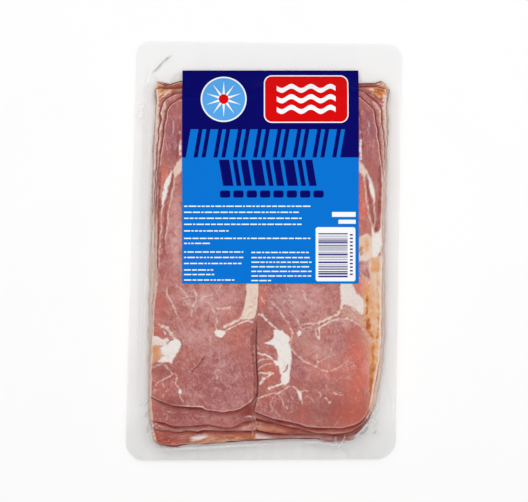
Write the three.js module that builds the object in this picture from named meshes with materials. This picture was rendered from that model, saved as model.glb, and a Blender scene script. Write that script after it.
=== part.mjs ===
// Vacuum pack of sliced back bacon, one kilogram, lying label side up.
// Millimetres, +Z up, +Y towards the empty header of the pack. The origin is the middle of the
// pack's bounding box, on the surface that the pack lies on.
//
// The pack is a shut film envelope that can't be looked into with a hand, so it is one solid: a flat
// sealed rim all round, and the block of rashers that the film is drawn down on. Its two faces are
// height functions over one out-of-square plan with rounded corners. The label is a thin sheet that
// follows the upper face.

import * as THREE from 'three';

// Plan of the sealed film. It is slightly out of square, as a pack cut from a running web is.
const HEADER_WIDTH = 186.6;
const FOOT_WIDTH = 189.3;
const PACK_LENGTH = 292.6;
const HEADER_SHIFT = 3.2; // middle of the header edge, towards +X
const FOOT_SHIFT = -3.2; // middle of the foot edge
const HEADER_DROP = 1.15; // the header edge falls by this each side of its middle, towards +X
const FOOT_RISE = 0.5; // the foot edge rises by this each side of its middle, towards +X
const HEADER_CORNER = 10;
const FOOT_CORNER = 13.5;

// Heights
const RIM_LEVEL = 9; // top face of the sealed rim
const RIM_THICKNESS = 0.8;
const STACK_HEIGHT = 24.6; // film over the middle of the rashers
const RIM_WAVE = { height: 0.5, across: 23, along: 37, start: 0.7 }; // the rim isn't quite level
const CROWN = { height: 0.7, roundness: 1.3 }; // the block stands a little higher in its middle

// Plan of the block of rashers at its widest layer: the edges run straight between these places.
const BLOCK_LEFT = { atHeader: -77.9, atFoot: -80.6 };
const BLOCK_RIGHT = { atHeader: 87.6, atFoot: 80.3 };
const BLOCK_HEADER_END = 118.3;
const BLOCK_FOOT_END = { atLeft: -137, atRight: -130.5 };

// How far the upper film slopes down on each side: from "inner" inside the block's edge to "outer"
// outside it. The rashers at the foot are shingled, so the slope is long there. The film over the
// header is stretched like a tent.
const SLOPE_LEFT = { inner: 9, outer: 7 };
const SLOPE_RIGHT = { inner: 10, outer: 4 };
const SLOPE_HEADER = { inner: 8, outer: 21 };
const SLOPE_FOOT = { inner: 27, outer: 4.5 };
const UNDERSIDE_SLOPE = { inner: 6, outer: 4 };
const CORNER_BLEND = 0.16; // roundness where two slopes meet

// Shingled ends of the rashers at the foot
const SHINGLES = 4;
const SHINGLE_DEPTH = 0.75;

// Groove between the two rows of rashers, open from the label's lower edge to the foot
const GROOVE = { atLabel: -7.8, atFoot: -4.8, depth: 2.2, halfWidth: 3.4 };

// Slow swells of the rashers under the film
const SWELL = { height: 0.45, across: 17, along: 21, start: 1.3 };

// Label
const LABEL = { left: -57.7, right: 65.5, header: 126.7, foot: -22.4, thickness: 0.35, gap: 0.35 };
const SWELL_MARGIN = 9; // the swells and the groove fade in over this distance from the label

const HALF_WIDTH = (HEADER_WIDTH + FOOT_WIDTH) / 4;
const HALF_LENGTH = PACK_LENGTH / 2;

// Grid lines of the faces. Each entry is a place and the step that holds from there on.
const PACK_ACROSS = [
  [-HALF_WIDTH, 3.4], [-83, 2.9], [-66, 6.4], [-15, 3], [5, 6.4], [69, 2.9], [86, 3], [HALF_WIDTH, 0],
];
const PACK_ALONG = [
  [-HALF_LENGTH, 3.6], [-138, 2.9], [-104, 7], [102, 4.2], [142, 4.3], [HALF_LENGTH, 0],
];
const LABEL_ACROSS = [[LABEL.left, 7.7], [LABEL.right, 0]];
const LABEL_ALONG = [[LABEL.foot, 7.6], [98, 4.1], [LABEL.header, 0]];

const clamp01 = (t) => Math.min(1, Math.max(0, t));
const lerp = (a, b, t) => a + (b - a) * t;
const ease = (t) => clamp01(t) ** 2 * (3 - 2 * clamp01(t));

// Part of the way from the foot (0) to the header (1)
const towardsHeader = (y) => (y + HALF_LENGTH) / PACK_LENGTH;

// The smaller of several values, rounded off where two are alike
function softMin(values) {
  return values.reduce((a, b) => {
    const h = clamp01(0.5 + (b - a) / (2 * CORNER_BLEND));
    return lerp(b, a, h) - CORNER_BLEND * h * (1 - h);
  });
}

// Maps the corner square of a rectangle onto a quarter disc, and leaves the rest as it is
function roundCorner(x, y) {
  const radius = y > 0 ? HEADER_CORNER : FOOT_CORNER;
  const p = clamp01((Math.abs(x) - (HALF_WIDTH - radius)) / radius);
  const q = clamp01((Math.abs(y) - (HALF_LENGTH - radius)) / radius);
  return [
    x - Math.sign(x) * radius * p * (1 - Math.sqrt(1 - (q * q) / 2)),
    y - Math.sign(y) * radius * q * (1 - Math.sqrt(1 - (p * p) / 2)),
  ];
}

// Leans and widens the rectangle into the pack's own plan
function leanPlan([x, y]) {
  const t = towardsHeader(y);
  const side = x / HALF_WIDTH;
  const width = lerp(FOOT_WIDTH, HEADER_WIDTH, t);
  return [
    lerp(FOOT_SHIFT, HEADER_SHIFT, t) + (side * width) / 2,
    y + side * lerp(FOOT_RISE, -HEADER_DROP, t),
  ];
}

// Distance inside each edge of the block of rashers, negative outside it
function blockInset(x, y) {
  const t = towardsHeader(y);
  const s = (x - BLOCK_LEFT.atFoot) / (BLOCK_RIGHT.atFoot - BLOCK_LEFT.atFoot);
  return {
    left: x - lerp(BLOCK_LEFT.atFoot, BLOCK_LEFT.atHeader, t),
    right: lerp(BLOCK_RIGHT.atFoot, BLOCK_RIGHT.atHeader, t) - x,
    header: BLOCK_HEADER_END - y,
    foot: y - lerp(BLOCK_FOOT_END.atLeft, BLOCK_FOOT_END.atRight, s),
  };
}

const alongSlope = (inset, slope) => (inset + slope.outer) / (slope.inner + slope.outer);

// Share of the block's height that the upper film has reached: 0 on the rim, 1 on top
function upperRise(x, y) {
  const inset = blockInset(x, y);
  const foot = alongSlope(inset.foot, SLOPE_FOOT);
  const sides = [
    alongSlope(inset.left, SLOPE_LEFT),
    alongSlope(inset.right, SLOPE_RIGHT),
    alongSlope(inset.header, SLOPE_HEADER),
  ];
  const rise = ease(softMin([...sides, foot]));
  const shingled = SHINGLE_DEPTH * ease((Math.min(...sides) - foot) * 2);
  const turn = 2 * Math.PI * SHINGLES;
  return rise - (shingled * Math.sin(turn * rise)) / turn;
}

// Share of the rim's height that the lower film has dropped: 0 on the rim, 1 where it lies flat
function lowerDrop(x, y) {
  const insets = Object.values(blockInset(x, y));
  return ease(softMin(insets.map((inset) => alongSlope(inset, UNDERSIDE_SLOPE))));
}

// A slow wave with a crest every 2 pi times its length each way
const wave = (shape, x, y) =>
  shape.height * Math.sin(x / shape.across + shape.start) * Math.cos(y / shape.along - shape.start);

// 0 under the label, rising to 1 away from it
function clearOfLabel(x, y) {
  const beside = Math.max(LABEL.left - x, x - LABEL.right, LABEL.foot - y, y - LABEL.header);
  return ease(beside / SWELL_MARGIN);
}

function upperHeight(x, y) {
  const rise = upperRise(x, y);
  const crownAcross = Math.cos((x / HALF_WIDTH) * CROWN.roundness);
  const crownAlong = Math.cos((y / HALF_LENGTH) * CROWN.roundness);
  const block = STACK_HEIGHT - RIM_LEVEL + CROWN.height * crownAcross * crownAlong;
  const groovePlace = lerp(GROOVE.atFoot, GROOVE.atLabel, towardsHeader(y) * 2);
  const groove = GROOVE.depth * Math.exp(-(((x - groovePlace) / GROOVE.halfWidth) ** 2));
  const belowLabel = y < LABEL.foot ? groove : 0;
  const relief = (wave(SWELL, x, y) - belowLabel) * rise * clearOfLabel(x, y);
  return RIM_LEVEL + wave(RIM_WAVE, x, y) * (1 - rise) + block * rise + relief;
}

function lowerHeight(x, y) {
  return (RIM_LEVEL - RIM_THICKNESS + wave(RIM_WAVE, x, y)) * (1 - lowerDrop(x, y));
}

// Places of grid lines, evenly spaced within each stretch and no further apart than its step
function gridLines(stretches) {
  const lines = [stretches[0][0]];
  for (let i = 0; i + 1 < stretches.length; i++) {
    const [from, step] = stretches[i];
    const to = stretches[i + 1][0];
    const count = Math.ceil((to - from) / step);
    for (let k = 1; k <= count; k++) lines.push(lerp(from, to, k / count));
  }
  return lines;
}

// A closed sheet between two height functions over a grid. Each cell is split along the diagonal
// that lies closer to the surface.
function closedSheet(across, along, plan, upper, lower) {
  const columns = across.length;
  const count = columns * along.length;
  const places = along.flatMap((y) => across.map((x) => plan(x, y)));
  const positions = [];
  for (const face of [upper, lower]) {
    for (const [x, y] of places) positions.push(x, y, face(x, y));
  }
  const height = (i) => positions[3 * i + 2];
  const index = [];
  const addCell = (a, b, c, d) => {
    const flat = Math.abs(height(a) - height(c)) <= Math.abs(height(b) - height(d));
    index.push(...(flat ? [a, b, c, a, c, d] : [a, b, d, b, c, d]));
  };
  for (let j = 0; j + 1 < along.length; j++) {
    for (let i = 0; i + 1 < columns; i++) {
      const a = j * columns + i;
      addCell(a, a + 1, a + columns + 1, a + columns);
      addCell(count + a, count + a + columns, count + a + columns + 1, count + a + 1);
    }
  }
  const rim = [];
  for (let i = 0; i + 1 < columns; i++) rim.push(i);
  for (let j = 0; j + 1 < along.length; j++) rim.push(j * columns + columns - 1);
  for (let i = columns - 1; i > 0; i--) rim.push((along.length - 1) * columns + i);
  for (let j = along.length - 1; j > 0; j--) rim.push(j * columns);
  rim.forEach((a, k) => {
    const b = rim[(k + 1) % rim.length];
    index.push(count + a, count + b, b, count + a, b, a);
  });
  const geometry = new THREE.BufferGeometry();
  geometry.setAttribute('position', new THREE.Float32BufferAttribute(positions, 3));
  geometry.setIndex(index);
  geometry.computeVertexNormals();
  return geometry;
}

function sealedPack() {
  const across = gridLines(PACK_ACROSS);
  const along = gridLines(PACK_ALONG);
  const plan = (x, y) => leanPlan(roundCorner(x, y));
  const geometry = closedSheet(across, along, plan, upperHeight, lowerHeight);
  const material = new THREE.MeshStandardMaterial({ color: 0xc9908a, roughness: 0.3, metalness: 0 });
  return new THREE.Mesh(geometry, material);
}

function label() {
  const across = gridLines(LABEL_ACROSS);
  const along = gridLines(LABEL_ALONG);
  const back = (x, y) => upperHeight(x, y) + LABEL.gap;
  const face = (x, y) => back(x, y) + LABEL.thickness;
  const geometry = closedSheet(across, along, (x, y) => [x, y], face, back);
  const material = new THREE.MeshStandardMaterial({ color: 0x0b4fa8, roughness: 0.4, metalness: 0 });
  return new THREE.Mesh(geometry, material);
}

const pack = sealedPack();
pack.name = 'sealed_pack';

const packLabel = label();
packLabel.name = 'label';

// The plan leans, so the group is set back to the middle of its box
const group = new THREE.Group();
group.add(pack, packLabel);
const box = new THREE.Box3().setFromObject(group);
const middle = box.getCenter(new THREE.Vector3());
group.position.set(-middle.x, -middle.y, 0);
group.updateMatrixWorld(true);

export default group;
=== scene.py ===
"""Sealed pack of sliced back bacon: two rows of rashers in clear film, with a printed label.

Lengths inside the classes are in millimetres, and MM turns them into Blender's metres. Places on the
meat and folds in the film are read from the photograph, in pixels of its 528 by 502 frame. Each of
them is named for what it marks, and PhotoPlan turns it into millimetres of the pack's own frame.
"""

import logging
import math
from dataclasses import dataclass, field
from enum import Enum
from typing import Iterable, Sequence

import bmesh
import bpy
import numpy as np
from mathutils import Matrix, Vector


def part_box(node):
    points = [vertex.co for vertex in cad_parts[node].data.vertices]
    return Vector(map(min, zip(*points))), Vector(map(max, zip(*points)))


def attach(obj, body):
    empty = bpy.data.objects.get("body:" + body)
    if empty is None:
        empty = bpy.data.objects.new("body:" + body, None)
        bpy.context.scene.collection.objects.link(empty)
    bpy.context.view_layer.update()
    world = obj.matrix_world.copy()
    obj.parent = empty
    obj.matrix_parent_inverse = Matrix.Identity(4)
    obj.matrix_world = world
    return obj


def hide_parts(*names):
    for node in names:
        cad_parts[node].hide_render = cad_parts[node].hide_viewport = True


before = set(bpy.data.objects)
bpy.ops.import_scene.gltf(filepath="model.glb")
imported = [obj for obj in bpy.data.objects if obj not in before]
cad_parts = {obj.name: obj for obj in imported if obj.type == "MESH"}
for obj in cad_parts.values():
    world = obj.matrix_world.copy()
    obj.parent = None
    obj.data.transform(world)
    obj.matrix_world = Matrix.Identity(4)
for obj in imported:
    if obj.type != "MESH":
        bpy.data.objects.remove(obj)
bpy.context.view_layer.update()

MM = 0.001
BODY = "root"

log = logging.getLogger("bacon_pack")

Array = np.ndarray
Place = tuple[float, float]
Line = tuple[Place, ...]
Colour = tuple[float, float, float]


def ease(t: Array) -> Array:
    """A smooth step from 0 to 1 as t goes from 0 to 1."""
    t = np.clip(t, 0.0, 1.0)
    return t * t * (3.0 - 2.0 * t)


def lerp(a: Array, b: Array, t: Array) -> Array:
    """The value part of the way from a to b."""
    return a + (b - a) * t


def fade(reach: Array, start: float, run: float) -> Array:
    """1 up to start, falling smoothly to 0 over run."""
    return 1 - ease((reach - start) / run)


def bell(reach: Array, width: float) -> Array:
    """1 where reach is 0, falling off to both sides over width."""
    return np.exp(-((reach / width) ** 2))


def srgb(red: int, green: int, blue: int) -> Colour:
    """A colour as a picture shows it, in the linear numbers that a shader takes.

    Args:
        red: red channel, 0 to 255.
        green: green channel.
        blue: blue channel.

    Returns:
        The linear colour.
    """
    def channel(value: float) -> float:
        """One channel made linear."""
        share = value / 255.0
        return share / 12.92 if share <= 0.04045 else ((share + 0.055) / 1.055) ** 2.4
    return channel(red), channel(green), channel(blue)


@dataclass(frozen=True)
class PhotoPlan:
    """Where the photograph's pixels lie in the pack's frame: it looks straight down."""

    mm_per_pixel: float = 0.70
    middle: Place = (264.0, 251.0)

    def x(self, px: Array) -> Array:
        """Millimetres towards +X of a pixel column."""
        return (np.asarray(px, float) - self.middle[0]) * self.mm_per_pixel

    def y(self, py: Array) -> Array:
        """Millimetres towards +Y of a pixel row."""
        return (self.middle[1] - np.asarray(py, float)) * self.mm_per_pixel

    def pixels(self, x: Array, y: Array) -> tuple[Array, Array]:
        """Pixel columns and rows of places in millimetres."""
        return x / self.mm_per_pixel + self.middle[0], self.middle[1] - y / self.mm_per_pixel


PHOTO = PhotoPlan()


class Speckle:
    """Smooth seeded noise over a plane, from -1 to 1, with about one bump in each cell."""

    TABLE = 128

    def __init__(self, seed: int, cell: float) -> None:
        """Draws the table of values.

        Args:
            seed: seed of the draw.
            cell: size of a bump across.
        """
        self.values = np.random.default_rng(seed).uniform(-1, 1, (self.TABLE, self.TABLE))
        self.cell = cell

    def at(self, x: Array, y: Array) -> Array:
        """The noise at each place.

        Args:
            x: places across.
            y: places along.

        Returns:
            One value for each place.
        """
        gx, gy = x / self.cell, y / self.cell
        ix, iy = np.floor(gx).astype(int), np.floor(gy).astype(int)
        tx, ty = ease(gx - ix), ease(gy - iy)

        def corner(i: int, j: int) -> Array:
            """Values at one corner of each place's cell."""
            return self.values[(ix + i) % self.TABLE, (iy + j) % self.TABLE]
        near = lerp(corner(0, 0), corner(1, 0), tx)
        return lerp(near, lerp(corner(0, 1), corner(1, 1), tx), ty)


def reach_of_line(line: Line, px: Array, py: Array) -> tuple[Array, Array]:
    """How far places lie from a line of straight runs.

    Args:
        line: the line's places.
        px: pixel columns of the places.
        py: pixel rows of the places.

    Returns:
        The distance in pixels, and how far along the line its nearest point is, from 0 to 1.
    """
    reach = np.full(px.shape, 1e9)
    along_line = np.zeros(px.shape)
    runs = len(line) - 1
    for i, ((ax, ay), (bx, by)) in enumerate(zip(line, line[1:])):
        dx, dy = bx - ax, by - ay
        along = np.clip(((px - ax) * dx + (py - ay) * dy) / (dx * dx + dy * dy), 0, 1)
        away = np.hypot(px - ax - along * dx, py - ay - along * dy)
        along_line = np.where(away < reach, (i + along) / runs, along_line)
        reach = np.minimum(reach, away)
    return reach, along_line


# Shader trees


class Value:
    """A shader number: arithmetic on it adds Math nodes."""

    def __init__(self, shader: "Shader", socket: bpy.types.NodeSocket) -> None:
        """Wraps a node's output socket."""
        self.shader = shader
        self.socket = socket

    def math(self, operation: str, *operands: "Value | float") -> "Value":
        """One Math node over the operands.

        Args:
            operation: the node's operation.
            operands: links or numbers, in order.

        Returns:
            The node's output, wrapped.
        """
        return self.shader.node("Math", {"operation": operation}, dict(enumerate(operands)))

    def __add__(self, other: "Value | float") -> "Value":
        """This plus other."""
        return self.math("ADD", self, other)

    def __sub__(self, other: "Value | float") -> "Value":
        """This less other."""
        return self.math("SUBTRACT", self, other)

    def __rsub__(self, other: float) -> "Value":
        """Other less this."""
        return self.math("SUBTRACT", other, self)

    def __mul__(self, other: "Value | float") -> "Value":
        """This times other."""
        return self.math("MULTIPLY", self, other)

    def __truediv__(self, other: "Value | float") -> "Value":
        """This over other."""
        return self.math("DIVIDE", self, other)

    __radd__ = __add__
    __rmul__ = __mul__

    def at_most(self, most: float) -> "Value":
        """This, or most where this is more."""
        return self.math("MINIMUM", self, most)

    def clipped(self) -> "Value":
        """This kept between 0 and 1."""
        return self.shader.node("Clamp", {}, {"Value": self})


class Shader:
    """A material's node tree, built by expressions."""

    def __init__(self, name: str) -> None:
        """Starts an empty tree for a material of that name.

        Args:
            name: name of the material.
        """
        self.material = bpy.data.materials.new(name)
        self.material.use_nodes = True
        self.tree = self.material.node_tree
        self.tree.nodes.clear()

    def node(self, kind: str, settings: dict, inputs: dict, output: int | str = 0) -> Value | None:
        """Adds one node.

        Args:
            kind: the node's type, without ShaderNode.
            settings: its own properties, which are set first.
            inputs: values or links, by socket name or number.
            output: name or number of the output that is returned.

        Returns:
            The output, wrapped, or None where the node has none.
        """
        made = self.tree.nodes.new("ShaderNode" + kind)
        for key, setting in settings.items():
            setattr(made, key, setting)
        for key, given in inputs.items():
            socket = made.inputs[key]
            if isinstance(given, Value):
                self.tree.links.new(given.socket, socket)
            elif socket.type == "RGBA":
                socket.default_value = (*given, 1.0)
            else:
                socket.default_value = given
        return Value(self, made.outputs[output]) if len(made.outputs) else None

    def attribute(self, name: str) -> Value:
        """A number that the mesh carries at its vertices."""
        return self.node("Attribute", {"attribute_name": name}, {}, "Fac")

    def noise(self, cell: float, detail: float, stretch: Sequence[float] = (1, 1, 1),
              turn: float = 0.0, curl: float = 0.0) -> Value:
        """Noise over the piece.

        Args:
            cell: size of its bumps, in millimetres.
            detail: how many finer octaves it has.
            stretch: factors on the place, below 1 for long bumps.
            turn: degrees that the long bumps are turned about Z.
            curl: how far the bumps are bent.

        Returns:
            The noise, about 0 and mostly within -1 and 1.
        """
        at = self.node("TexCoord", {}, {}, "Object")
        if turn:
            turned = (0.0, 0.0, math.radians(-turn))
            at = self.node("Mapping", {}, {"Vector": at, "Rotation": turned})
        scale = tuple(factor / MM for factor in stretch)
        at = self.node("Mapping", {}, {"Vector": at, "Scale": scale})
        inputs = {"Vector": at, "Scale": 1.0 / cell, "Detail": detail, "Distortion": curl}
        return (self.node("TexNoise", {}, inputs, "Fac") - 0.5) * 4.0

    def blend(self, share: Value, first: Colour | Value, second: Colour | Value) -> Value:
        """A mix of two colours: first where share is 0, second where it is 1.

        Args:
            share: how much of the second colour there is.
            first: the first colour.
            second: the second colour.

        Returns:
            The mix, wrapped.
        """
        settings = {"data_type": "RGBA", "clamp_factor": True}
        return self.node("Mix", settings, {0: share, 6: first, 7: second}, 2)

    def bump(self, height: Value, depth: float) -> Value:
        """A normal that follows height, where a height of 1 is depth millimetres."""
        return self.node("Bump", {}, {"Height": height, "Distance": depth * MM}, "Normal")

    def finish(self, surface: Value) -> bpy.types.Material:
        """Ends the tree in that surface and gives the material."""
        self.node("OutputMaterial", {}, {"Surface": surface})
        return self.material


# Tissue and the finishes


class Tissue(Enum):
    """What a mark on a rasher is: the channels that it sets, and to what."""

    LEAN = {"fat": 0.0, "tan": 0.0, "rust": 0.0, "deep": 0.0}
    CREAM = {"fat": 1.0, "pale": 0.15, "tan": 0.0, "rust": 0.0, "deep": 0.0}
    WHITE = {"fat": 1.0, "pale": 1.0, "tan": 0.0, "rust": 0.0, "deep": 0.0}
    TAN = {"fat": 1.0, "tan": 1.0, "deep": 0.0}
    RUST = {"fat": 1.0, "tan": 1.0, "rust": 1.0, "deep": 0.0}
    # Dark red: painted shade in creases, grooves, pits and below edges, and darker lean.
    CREASE = {"fat": 0.0, "deep": 1.0}
    PALE = {"pale": 1.0}
    WARM = {"warm": 1.0}
    MAUVE = {"warm": -1.0}
    COARSE = {"coarse": 1.0}


CHANNELS = ("fat", "pale", "tan", "rust", "deep", "warm", "coarse")
Channels = dict[str, Array]


def cover(channels: Channels, tissue: Tissue, share: Array) -> None:
    """Turns a share of the meat at each place into a tissue."""
    for name, target in tissue.value.items():
        channels[name] = lerp(channels[name], target, share)


@dataclass(frozen=True)
class MeatFinish:
    """Moist cured meat: rosy lean, cream fat and smoked rind, with dark red painted as shade in creases
    and along edges, and pale painted as highlights and sheen.
    """

    lean: Colour = srgb(180, 110, 103)
    # pale_lean and white also colour the painted highlights and sheen that the pale channel carries
    pale_lean: Colour = srgb(209, 164, 160)
    mauve: Colour = srgb(159, 92, 100)
    orange: Colour = srgb(217, 112, 89)
    # dark red of the deep channel: painted shade in creases, grooves and below edges, and darker lean
    deep: Colour = srgb(122, 28, 20)
    cream: Colour = srgb(228, 204, 188)
    white: Colour = srgb(233, 227, 222)
    tan: Colour = srgb(219, 149, 64)
    rust: Colour = srgb(178, 92, 42)
    roughness: float = 0.45
    specular: float = 0.22
    scattered: float = 0.35
    scatter_reach: tuple[float, float, float] = (1.0, 0.45, 0.35)
    scatter_depth: float = 1.6
    relief: float = 0.05
    name: str = "cured_meat"

    def material(self) -> bpy.types.Material:
        """Builds the material from the mesh's tissue channels.

        Returns:
            The material.
        """
        s = Shader(self.name)
        fat, pale, tan, rust, deep, warm, coarse = (s.attribute(name) for name in CHANNELS)
        cloud, mottle = s.noise(11.0, 2.0), s.noise(5.0, 2.0, curl=0.6)
        fibre = s.noise(2.2, 2.0, (1.0, 0.55, 1.0), 35.0, 1.6)
        grain = s.noise(1.1, 2.0)
        # the pale channel brings pale tissue as well as painted highlights and sheen
        light = fibre * (0.28 + coarse * 0.5) + mottle * 0.25 + pale
        dark = grain * (0.1 + coarse * 0.45) - fibre * 0.14 - mottle * 0.14
        lean = s.blend(warm + cloud * 0.2 + mottle * 0.12 - 0.05, self.lean, self.orange)
        lean = s.blend(warm * -1.0 - cloud * 0.2 - mottle * 0.14, lean, self.mauve)
        lean = s.blend(light, lean, self.pale_lean)
        lean = s.blend(dark, lean, self.deep)
        stain = mottle * 0.5 + grain * 0.35
        smoked = s.blend(tan + stain * tan, self.cream, self.tan)
        # the pale channel whitens the fat: pale fat, and painted highlights
        soft = s.blend(pale + grain * 0.12, smoked, self.white)
        soft = s.blend(fibre * 0.2 + mottle * 0.1, soft, self.lean)
        soft = s.blend(rust + stain * rust * 1.2, soft, self.rust)
        colour = s.blend(fat + grain * 0.22 * fat * (1.0 - fat) * 4.0, lean, soft)
        # the deep channel lays dark red: painted shade, and darker lean
        colour = s.blend(deep * 0.9 + mottle * 0.15 * deep, colour, self.deep)
        inputs = {
            "Base Color": colour,
            "Roughness": self.roughness,
            "Specular IOR Level": self.specular,
            "Subsurface Weight": self.scattered,
            "Subsurface Radius": self.scatter_reach,
            "Subsurface Scale": self.scatter_depth * MM,
            "Normal": s.bump(fibre * 0.5 + grain * 0.4 + mottle * 0.6, self.relief),
        }
        return s.finish(s.node("BsdfPrincipled", {}, inputs))


@dataclass(frozen=True)
class FilmFinish:
    """Clear glossy film: milky grey where two films are sealed, partly haze and partly painted shade,
    with painted shadow lines and painted glints along its folds.
    """

    # grey of the sealed film: its milky haze, and painted shade
    milk_and_shade: Colour = srgb(196, 196, 194)
    glint: Colour = srgb(253, 253, 252)
    shadow: Colour = srgb(120, 108, 98)
    clear_haze: float = 0.008
    sealed_haze: float = 0.1
    fold_shadow_share: float = 0.6
    glint_haze: float = 0.5
    glint_gain: float = 4.0
    streak: float = 0.014
    roughness: float = 0.12
    index: float = 1.36
    most_gloss: float = 0.12
    relief: float = 0.05
    name: str = "clear_film"

    def material(self) -> bpy.types.Material:
        """Builds the material: light passes, except for a share that is mirrored or scattered.

        Returns:
            The material.
        """
        s = Shader(self.name)
        sealed, fold, glint = (s.attribute(name) for name in ("sealed", "fold", "glint"))
        ripple = s.noise(6.0, 2.0, (1.0, 0.12, 1.0))
        crinkle = s.noise(2.2, 3.0)
        normal = s.bump(ripple * 0.7 + crinkle * 0.5, self.relief)
        gloss = s.node("Fresnel", {}, {"IOR": self.index, "Normal": normal}).at_most(self.most_gloss)
        haze = sealed * (ripple * self.streak + self.sealed_haze) + self.clear_haze
        # fold lines are painted shadow and glint lines painted glints: both raise the share that the base
        # colour below tints dark or white
        haze = (haze + fold * self.fold_shadow_share + glint * self.glint_haze).clipped()
        inputs = {
            "Base Color": s.blend(fold, s.blend(glint * self.glint_gain, self.milk_and_shade, self.glint),
                                  self.shadow),
            "Metallic": gloss / (gloss + haze),
            "Roughness": self.roughness,
            "Normal": normal,
        }
        skin = s.node("BsdfPrincipled", {}, inputs)
        clear = s.node("BsdfTransparent", {}, {})
        share = (gloss + haze).clipped()
        return s.finish(s.node("MixShader", {}, {0: share, 1: clear, 2: skin}))


@dataclass(frozen=True)
class InkFinish:
    """Printed colour on smooth paper, with the print's faint unevenness."""

    name: str
    colour: Colour
    roughness: float = 0.5
    specular: float = 0.1
    darkest: float = 0.88
    uneven: float = 0.1
    tooth: float = 0.04

    def material(self) -> bpy.types.Material:
        """Builds the material.

        Returns:
            The material.
        """
        s = Shader(self.name)
        cloud, tooth = s.noise(9.0, 2.0), s.noise(0.5, 1.0)
        darker = tuple(channel * self.darkest for channel in self.colour)
        inputs = {
            "Base Color": s.blend(cloud * self.uneven + tooth * self.uneven, self.colour, darker),
            "Roughness": tooth * self.tooth + self.roughness,
            "Specular IOR Level": self.specular,
        }
        return s.finish(s.node("BsdfPrincipled", {}, inputs))


@dataclass(frozen=True)
class FloorFinish:
    """Plain pale floor."""

    colour: Colour = (0.95, 0.95, 0.95)
    darkest: float = 0.985
    roughness: float = 0.9
    cloud_size: float = 60.0
    name: str = "pale_floor"

    def material(self) -> bpy.types.Material:
        """Builds the material.

        Returns:
            The material.
        """
        s = Shader(self.name)
        darker = tuple(channel * self.darkest for channel in self.colour)
        colour = s.blend(s.noise(self.cloud_size, 2.0) * 0.3 + 0.5, self.colour, darker)
        inputs = {"Base Color": colour, "Roughness": self.roughness}
        return s.finish(s.node("BsdfPrincipled", {}, inputs))


# Marks on the faces of the rashers


@dataclass(frozen=True)
class Streak:
    """A seam, edge line or crease along a few places, in pixels of the photograph.

    A thin streak is fainter and sharper than a wide one, and fray makes it uneven.
    """

    THIN_SOFTNESS, SOFTNESS_GAIN = 0.8, 0.15
    THIN_BODY, BODY_GAIN = 0.5, 0.2
    EVEN_BODY, FRAYED_BODY = 0.85, 0.35
    EVEN_REACH, FRAYED_REACH = 0.42, 0.25

    tissue: Tissue
    width: float
    line: Line
    strength: float = 1.0

    def mask(self, px: Array, py: Array, fray: Array) -> Array:
        """How far each place belongs to the streak, from 0 to 1.

        Args:
            px: pixel columns of the places.
            py: pixel rows of the places.
            fray: unevenness at the places, from -1 to 1.

        Returns:
            One share for each place.
        """
        reach, _ = reach_of_line(self.line, px, py)
        soft = self.THIN_SOFTNESS + self.SOFTNESS_GAIN * self.width
        body = min(1.0, self.THIN_BODY + self.BODY_GAIN * self.width)
        body = body * (self.EVEN_BODY + self.FRAYED_BODY * fray)
        side = self.width * (self.EVEN_REACH + self.FRAYED_REACH * fray)
        return body * (1.0 - ease((reach - side + soft / 2) / soft))


@dataclass(frozen=True)
class Patch:
    """A piece of fat or muscle inside an outline, in pixels of the photograph."""

    FRAY = 0.35

    tissue: Tissue
    outline: Line
    strength: float = 1.0
    soft: float = 1.3

    def mask(self, px: Array, py: Array, fray: Array) -> Array:
        """How far each place belongs to the patch, from 0 to 1.

        Args:
            px: pixel columns of the places.
            py: pixel rows of the places.
            fray: unevenness at the places, from -1 to 1.

        Returns:
            One share for each place.
        """
        closed = self.outline + self.outline[:1]
        reach, _ = reach_of_line(closed, px, py)
        inside = np.zeros(px.shape, bool)
        for (ax, ay), (bx, by) in zip(closed, closed[1:]):
            if ay != by:
                crosses = (ay > py) != (by > py)
                inside ^= crosses & (px < ax + (py - ay) / (by - ay) * (bx - ax))
        signed = np.where(inside, reach, -reach) + self.FRAY * fray
        return ease(signed / self.soft + 0.5)


@dataclass(frozen=True)
class Glow:
    """A soft oval where the meat's tone changes, in pixels of the photograph."""

    tissue: Tissue
    middle: Place
    radii: Place
    strength: float = 0.6

    def mask(self, px: Array, py: Array, fray: Array) -> Array:
        """How far each place belongs to the oval, from 0 to 1."""
        (x, y), (rx, ry) = self.middle, self.radii
        return np.exp(-(((px - x) / rx) ** 2 + ((py - y) / ry) ** 2))


Marks = dict[str, Streak | Patch | Glow]


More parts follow.
